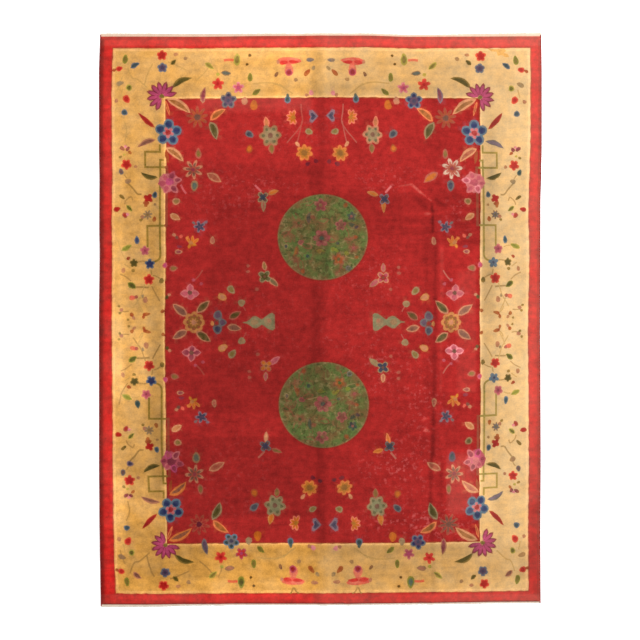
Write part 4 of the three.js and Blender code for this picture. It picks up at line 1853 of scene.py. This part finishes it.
def side_lines(sizes):
    """Middle lines of both overcast sides as a mesh of edges."""
    half_width = sizes.width / MM / 2 - sizes.cord_width / MM / 2
    half_length = sizes.length / MM / 2 - sizes.web_width / MM * SIDE_SHORT
    along = np.linspace(-half_length, half_length, SIDE_POINTS)
    points, edges = [], []
    for side in (-1, 1):
        across = np.full_like(along, side * half_width)
        x, y = wandered(sizes, across, along)
        z = np.maximum(fold_rise(across, along), 0) + WRAP_HEIGHT / MM / 2
        start = len(points)
        points += (np.column_stack((x, y, z)) * MM).tolist()
        edges += [(start + step, start + step + 1) for step in range(len(along) - 1)]
    mesh = bpy.data.meshes.new("overcast_lines")
    mesh.from_pydata(points, edges, [])
    return mesh


def wrapped_sides(sizes, material):
    """Both overcast sides as one plain mesh."""
    guide = new_object("overcast_guide", side_lines(sizes))
    tree = wrap_tree()
    modifier = guide.modifiers.new("wraps", "NODES")
    modifier.node_group = tree
    settings = {
        "Pitch": sizes.wrap_pitch,
        "Width": sizes.cord_width,
        "Height": WRAP_HEIGHT,
        "Lean": WRAP_LEAN,
        "Yarn": material,
    }
    for socket in tree.interface.items_tree:
        if socket.in_out == "INPUT" and socket.name in settings:
            modifier[socket.identifier] = settings[socket.name]
    evaluated = guide.evaluated_get(bpy.context.evaluated_depsgraph_get())
    mesh = bpy.data.meshes.new_from_object(evaluated)
    guide.modifiers.clear()
    bpy.data.objects.remove(guide)
    mesh.name = "side_cords"
    return mesh


# Cotton ends

WEB_STEP_MM = 7.0
WEB_INSET_MM = 2.0
WEB_TUCK_MM = 6.0
WEB_FRAY_MM = 2.4
WEB_ROUND_MM = 1.0


def web_mesh(sizes):
    """The cotton web at both ends: thin strips, tucked under the pile, with an uneven outer edge."""
    fray = random.Random(SEED)
    half_width = sizes.width / MM / 2 - WEB_INSET_MM
    half_length = sizes.length / MM / 2
    web_width = sizes.web_width / MM
    thickness = sizes.web_thickness / MM
    count = int(2 * half_width / WEB_STEP_MM)
    columns = np.linspace(-half_width, half_width, count + 1)
    shares = columns / half_width / 2 + 0.5
    size = len(columns)
    points, faces, stains = [], [], []
    for end, longer, (stained, clean) in ((-1, NEAR_WEB, NEAR_STAIN), (1, FAR_WEB, FAR_STAIN)):
        start = len(points)
        frayed = np.array([fray.uniform(0, WEB_FRAY_MM) for _ in columns])
        outer = half_length + soft_table(longer, shares) - frayed
        inner = np.full_like(columns, half_length - web_width - WEB_TUCK_MM)
        lines = (
            (inner, 0.0, stained),
            (inner, thickness, stained),
            (outer - WEB_ROUND_MM, thickness, clean),
            (outer, thickness / 2, clean),
            (outer - WEB_ROUND_MM, 0.0, clean),
        )
        for along, height, stain in lines:
            x, y = wandered(sizes, columns, along * end)
            z = np.maximum(fold_rise(columns, along * end), 0) + height
            points += (np.column_stack((x, y, z)) * MM).tolist()
            stains += [stain] * size
        for line in range(len(lines)):
            here = start + line * size
            there = start + (line + 1) % len(lines) * size
            for step in range(count):
                quad = (here + step, here + step + 1, there + step + 1, there + step)
                faces.append(quad if end > 0 else quad[::-1])
        for column in (0, size - 1):
            cap = [start + line * size + column for line in range(len(lines))]
            faces.append(cap if (column == 0) == (end > 0) else cap[::-1])
    mesh = bpy.data.meshes.new("end_webs")
    mesh.from_pydata(points, [], faces)
    mesh.polygons.foreach_set("use_smooth", np.ones(len(mesh.polygons), dtype=bool))
    mesh.set_sharp_from_angle(angle=SHARP_ANGLE)
    set_attribute(mesh, "stain", "FLOAT", "POINT", "value", np.array(stains))
    return mesh


# Operators, one for each piece and one for the stage


class RUG_OT_knot_pile(bpy.types.Operator):
    """Knots the pile: the closed wool sheet with its charted design"""

    bl_idname = "rug.knot_pile"
    bl_label = "Knot the pile"

    def execute(self, context):
        scene = context.scene
        piece = new_object("rug_pile", pile_mesh(scene.rug_sizes, scene.rug_dyes))
        piece.data.materials.append(pile_material())
        piece.data.materials.append(back_material())
        enter_frame(piece)
        return {"FINISHED"}


class RUG_OT_overcast_sides(bpy.types.Operator):
    """Wraps yarn over both long sides"""

    bl_idname = "rug.overcast_sides"
    bl_label = "Overcast the sides"

    def execute(self, context):
        scene = context.scene
        material = overcast_material(scene.rug_dyes)
        enter_frame(new_object("side_cords", wrapped_sides(scene.rug_sizes, material)))
        return {"FINISHED"}


class RUG_OT_weave_ends(bpy.types.Operator):
    bl_idname = "rug.weave_ends"
    bl_label = "Weave the ends"

    def execute(self, context):
        scene = context.scene
        sizes = scene.rug_sizes
        piece = new_object("end_webs", web_mesh(sizes))
        piece.data.materials.append(web_material(scene.rug_dyes))
        enter_frame(piece)
        return {"FINISHED"}


LENS_MM = 50.0
SENSOR_MM = 36.0
FLOOR_SIZE = 16.0
FLOOR_DROP = 0.0005
FLOOR_COLOUR = (0.9, 0.9, 0.9, 1.0)
FLOOR_ROUGHNESS = 0.9
PILE_TOP = 0.010
KEY_PLACE = (6.5, 5.5, 8.5)
KEY_SIZE = 3.0
KEY_POWER = 1600.0
SKY_STRENGTH = 0.5
FLOOR_GLOW = 0.5
WHITE = (1.0, 1.0, 1.0, 1.0)


class RUG_OT_set_stage(bpy.types.Operator):
    """Sets the pale floor, the soft light and the camera straight above the rug"""

    bl_idname = "rug.set_stage"
    bl_label = "Set the stage"

    def execute(self, context):
        self.lay_floor()
        self.light_up(context.scene)
        self.aim_camera(context.scene)
        return {"FINISHED"}

    def lay_floor(self):
        half = FLOOR_SIZE / 2
        mesh = bpy.data.meshes.new("studio_floor")
        corners = [(-half, -half, 0), (half, -half, 0), (half, half, 0), (-half, half, 0)]
        mesh.from_pydata(corners, [], [(0, 1, 2, 3)])
        floor = new_object("studio_floor", mesh)
        material, _, shader, _ = blank_material("white_floor")
        shader.inputs["Base Color"].default_value = FLOOR_COLOUR
        shader.inputs["Roughness"].default_value = FLOOR_ROUGHNESS
        shader.inputs["Emission Color"].default_value = WHITE
        shader.inputs["Emission Strength"].default_value = FLOOR_GLOW
        mesh.materials.append(material)
        floor.location.z = -FLOOR_DROP

    def light_up(self, scene):
        world = bpy.data.worlds.new("studio_sky")
        world.use_nodes = True
        sky = world.node_tree.nodes["Background"]
        sky.inputs["Color"].default_value = WHITE
        sky.inputs["Strength"].default_value = SKY_STRENGTH
        scene.world = world
        scene.view_settings.view_transform = "Standard"
        lamp = bpy.data.lights.new("soft_key", "AREA")
        lamp.size = KEY_SIZE
        lamp.energy = KEY_POWER
        key = bpy.data.objects.new("soft_key", lamp)
        key.location = KEY_PLACE
        aim = -key.location.normalized()
        key.rotation_euler = aim.to_track_quat("-Z", "Y").to_euler()
        scene.collection.objects.link(key)

    def aim_camera(self, scene):
        lens = bpy.data.cameras.new("above")
        lens.lens = LENS_MM
        lens.sensor_width = SENSOR_MM
        camera = bpy.data.objects.new("above", lens)
        sizes = scene.rug_sizes
        middle_x = (PHOTO_SIZE / 2 - PHOTO_MIDDLE[0]) * PIXEL_MM
        middle_y = (PHOTO_MIDDLE[1] - PHOTO_SIZE / 2) * PIXEL_MM
        x, y = wandered(sizes, np.array([middle_x]), np.array([middle_y]))
        view_width = PHOTO_SIZE * PIXEL_MM * MM
        height = PILE_TOP + view_width * LENS_MM / SENSOR_MM
        camera.location = (x[0] * MM, y[0] * MM, height)
        scene.collection.objects.link(camera)
        scene.camera = camera


class RUG_PT_sidebar(bpy.types.Panel):
    """Buttons for the rug's pieces"""

    bl_idname = "RUG_PT_sidebar"
    bl_label = "Flower Border Rug"
    bl_space_type = "VIEW_3D"
    bl_region_type = "UI"
    bl_category = "Rug"

    def draw(self, context):
        for operator in OPERATORS:
            self.layout.operator(operator.bl_idname)


OPERATORS = (RUG_OT_knot_pile, RUG_OT_overcast_sides, RUG_OT_weave_ends, RUG_OT_set_stage)
CLASSES = (RugDyes, RugSizes, *OPERATORS, RUG_PT_sidebar)


def register():
    """Registers the classes and the scene's settings."""
    for cls in CLASSES:
        bpy.utils.register_class(cls)
    bpy.types.Scene.rug_dyes = bpy.props.PointerProperty(type=RugDyes)
    bpy.types.Scene.rug_sizes = bpy.props.PointerProperty(type=RugSizes)


def unregister():
    """Takes the scene's settings and the classes out again."""
    del bpy.types.Scene.rug_sizes
    del bpy.types.Scene.rug_dyes
    for cls in reversed(CLASSES):
        bpy.utils.unregister_class(cls)


def main():
    """Builds the rug and its stage."""
    register()
    bpy.ops.rug.knot_pile()
    bpy.ops.rug.overcast_sides()
    bpy.ops.rug.weave_ends()
    bpy.ops.rug.set_stage()


if __name__ == "__main__":
    main()
